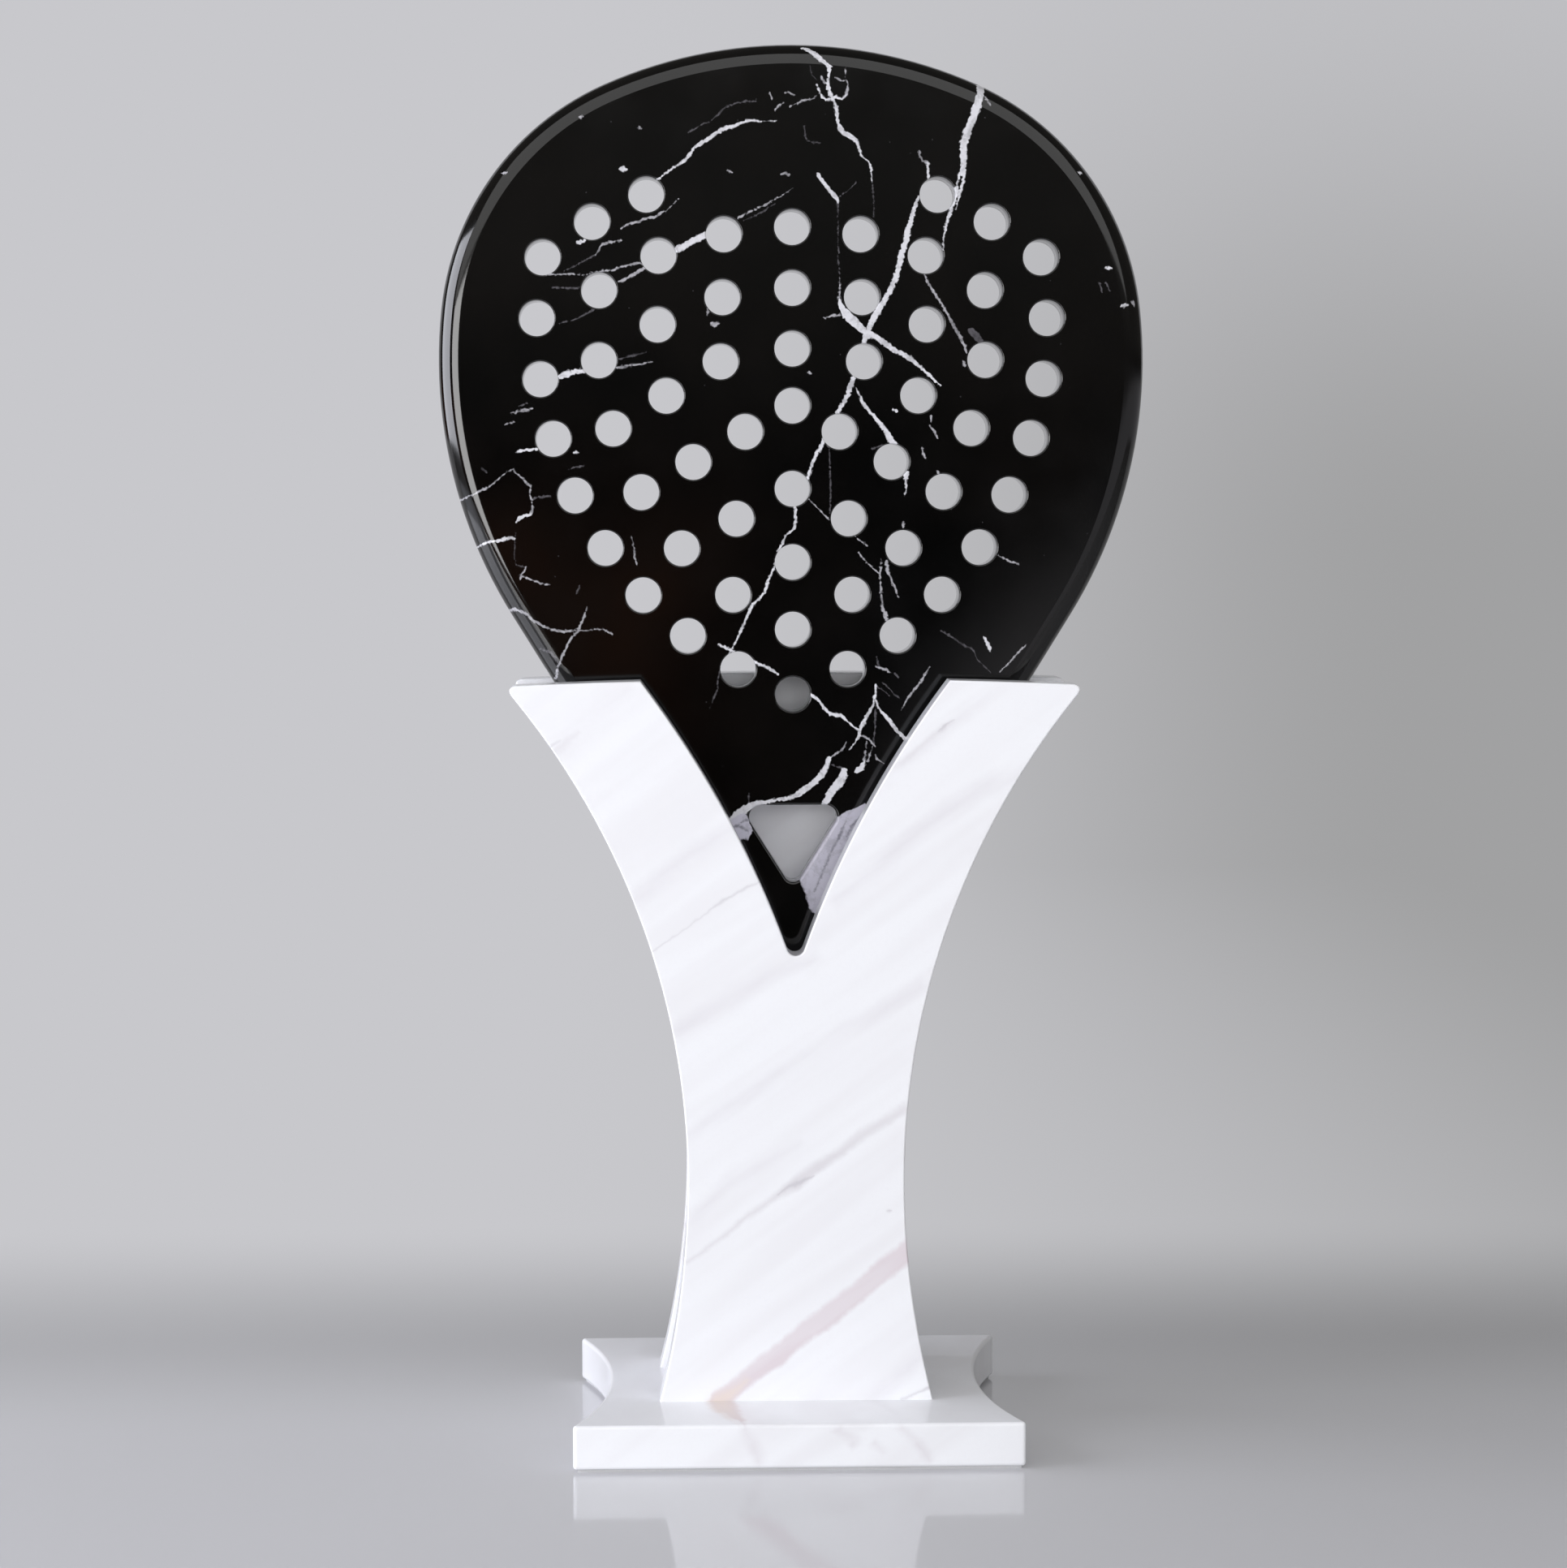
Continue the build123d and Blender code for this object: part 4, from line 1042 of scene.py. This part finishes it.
def sweep():
    """Table and wall in one sheet, as wide as the room."""
    bm = bmesh.new()
    corner = bm.verts.new((-ROOM_HALF_WIDTH, ROOM_FRONT, 0))
    for run in ((0, ROOM_BACK - ROOM_FRONT, 0), (0, 0, WALL_HEIGHT)):
        moved = bmesh.ops.extrude_vert_indiv(bm, verts=[corner])["verts"]
        bmesh.ops.translate(bm, verts=moved, vec=run)
        corner = moved[0]
    bmesh.ops.translate(bm, verts=extruded_edges(bm, bm.edges[:]), vec=(2 * ROOM_HALF_WIDTH, 0, 0))
    for face in bm.faces:
        face.normal_update()
        if face.normal.z < -0.5 or face.normal.y > 0.5:
            face.normal_flip()
    sheet = mesh_object("table_and_wall", bm, lacquer_and_wall_paint())


def wall_tone_and_painted_shade(tree, place):
    """Grey paint, darker low on the right, where the darkening is painted shade."""
    shade_to_right = soft_ramp(tree, place["X"], WALL_PAINTED_SHADE_RIGHTWARDS)
    shade_low_down = soft_ramp(tree, place["Z"], WALL_PAINTED_SHADE_DOWNWARDS, (0.25, 1))
    return tint(tree, "#c8c8cc", calc(tree, 'MULTIPLY', shade_to_right, shade_low_down), "#a1a1a2")


def lacquer_and_wall_paint():
    """Grey lacquered table, glossy, that turns softly to the matt paint of the studio wall; both are darkened in
    places by painted shade.
    """
    material, tree = new_material("grey_lacquer_and_wall_paint_with_painted_shade")
    place = put(tree, "SeparateXYZ", {"Vector": put(tree, "TexCoord")["Object"]})
    # Painted shade: the table's colour darkens towards the wall.
    tone = tint(tree, "#d2d2d6", soft_ramp(tree, place["Y"], LACQUER_PAINTED_SHADE), "#b6b6b8")
    lacquer = put(tree, "BsdfPrincipled", {"Base Color": tone, "Roughness": LACQUER_ROUGHNESS,
                                           "IOR": LACQUER_IOR})[0]
    # Painted shade: the wall's paint and its glow are darker to the right and lower down.
    wall_paint_and_painted_shade = wall_tone_and_painted_shade(tree, place)
    matt = put(tree, "BsdfDiffuse", {"Color": wall_paint_and_painted_shade})[0]
    glow = put(tree, "Emission", {"Color": wall_paint_and_painted_shade, "Strength": 1.0})[0]
    path = put(tree, "LightPath")
    seen = calc(tree, 'MAXIMUM', path["Is Camera Ray"], path["Is Glossy Ray"])
    seen = calc(tree, 'MAXIMUM', seen, path["Is Transmission Ray"])
    paint = put(tree, "MixShader", {0: seen, 1: matt, 2: glow})[0]
    fade = soft_ramp(tree, place["Y"], TABLE_FADE)
    front = put(tree, "MixShader", {0: fade, 1: lacquer, 2: paint})[0]
    behind = put(tree, "NewGeometry")["Backfacing"]
    clear = put(tree, "BsdfTransparent")[0]
    put(tree, "OutputMaterial", {"Surface": put(tree, "MixShader", {0: behind, 1: front, 2: clear})[0]})
    return material


def lamp(name, place, aim, size, watts, colour="#ffffff"):
    light = bpy.data.lights.new(name, 'AREA')
    light.shape = 'RECTANGLE'
    light.size, light.size_y = size
    light.energy = watts
    light.color = linear(colour)[:3]
    turn = (Vector(aim) - Vector(place)).to_track_quat('-Z', 'Y').to_euler()
    return placed(name, light, place, turn)


def dim_room():
    """World: a dim room. The camera sees plain grey where the wall ends."""
    world = bpy.data.worlds.new("dim_room")
    world.use_nodes = True
    world.node_tree.nodes.clear()
    tree = world.node_tree
    way = put(tree, "TexCoord")["Generated"]
    split = put(tree, "SeparateXYZ", {"Vector": way})
    below = soft_ramp(tree, split["Z"], BELOW_EYE)
    slanted = calc(tree, 'MULTIPLY_ADD', split["Z"], -SHEEN_SLANT, split["X"])
    pale = soft_ramp(tree, slanted, SHEEN_SIDE, (0, SHEEN_STRENGTH))
    pale = calc(tree, 'MULTIPLY', pale, below)
    pale = calc(tree, 'MULTIPLY', pale, soft_ramp(tree, split["X"], SHEEN_FROM))
    things = noise(tree, way, BROWN_PATCH_SIZE, detail=2)[0]
    brown = calc(tree, 'MULTIPLY', soft_ramp(tree, split["X"], BROWN_FROM),
                 ramp(tree, things, BROWN_PATCHES, (0, BROWN_STRENGTH)))
    brown = calc(tree, 'MULTIPLY', brown, below)
    above = soft_ramp(tree, split["Z"], ABOVE_EYE, ROOM_LIGHT)
    ground = tint(tree, tint(tree, "#000000", above, "#f4efe8"), brown, "#8a5536")
    room = put(tree, "Background", {"Color": ground, "Strength": 1.0})[0]
    sheen = put(tree, "Background", {"Color": linear("#f2f0f6"), "Strength": pale})[0]
    plain = put(tree, "Background", {"Color": linear("#ffffff"), "Strength": PLAIN_GREY})[0]
    mirrored = put(tree, "AddShader", {0: room, 1: sheen})[0]
    camera_ray = put(tree, "LightPath")["Is Camera Ray"]
    put(tree, "OutputWorld", {"Surface": put(tree, "MixShader", {0: camera_ray, 1: mirrored, 2: plain})[0]})
    bpy.context.scene.world = world


def studio():
    sweep()
    dim_room()
    lamp("window_left", place=(-1.55, -0.28, 0.62), aim=LEFT_RIM, size=(1.5, 0.95), watts=25, colour="#f4f6ff")
    lamp("window_front_left", place=(-1.04, -1.9, 0.36), aim=LEFT_RIM, size=(0.9, 0.66), watts=10)
    lamp("ceiling", place=(0, -1.75, 1.7), aim=(0, 0, 0.25), size=(4.5, 2.2), watts=27)
    # A polarised fill, as used on polished stone: it lights the piece without showing in its gloss
    fill = lamp("polarised_fill", place=(0.2, -2.7, 0.5), aim=(0, 0, 0.2), size=(1.6, 1.0), watts=16.5)
    fill.visible_glossy = False


def camera():
    view = bpy.data.cameras.new("camera")
    view.sensor_fit = 'HORIZONTAL'
    view.sensor_width = SENSOR_WIDTH
    view.lens = FOCAL_LENGTH_PX / IMAGE_WIDTH_PX * SENSOR_WIDTH
    bpy.context.scene.camera = placed("camera", view, CAMERA_PLACE, CAMERA_TURN)


black = black_marble()
white = white_marble()
dress_nodes({
    "black_marble": black,
    "white_marble": white,
    "felt": pressed_felt(),
    "steel": turned_metal("turned_stainless_steel", "#c9c9c9", "#a6a6a8", 0.28),
    "brass": turned_metal("turned_brass", "#d9b35c", "#b48f45", 0.3),
})
racket(black)
panel("front_panel_stone", "front_panel", True, -1, white)
panel("rear_panel_stone", "rear_panel", False, 1, white)
plinth(white)
studio()
camera()
bpy.context.scene.view_settings.view_transform = 'Standard'

bpy.context.view_layer.update()
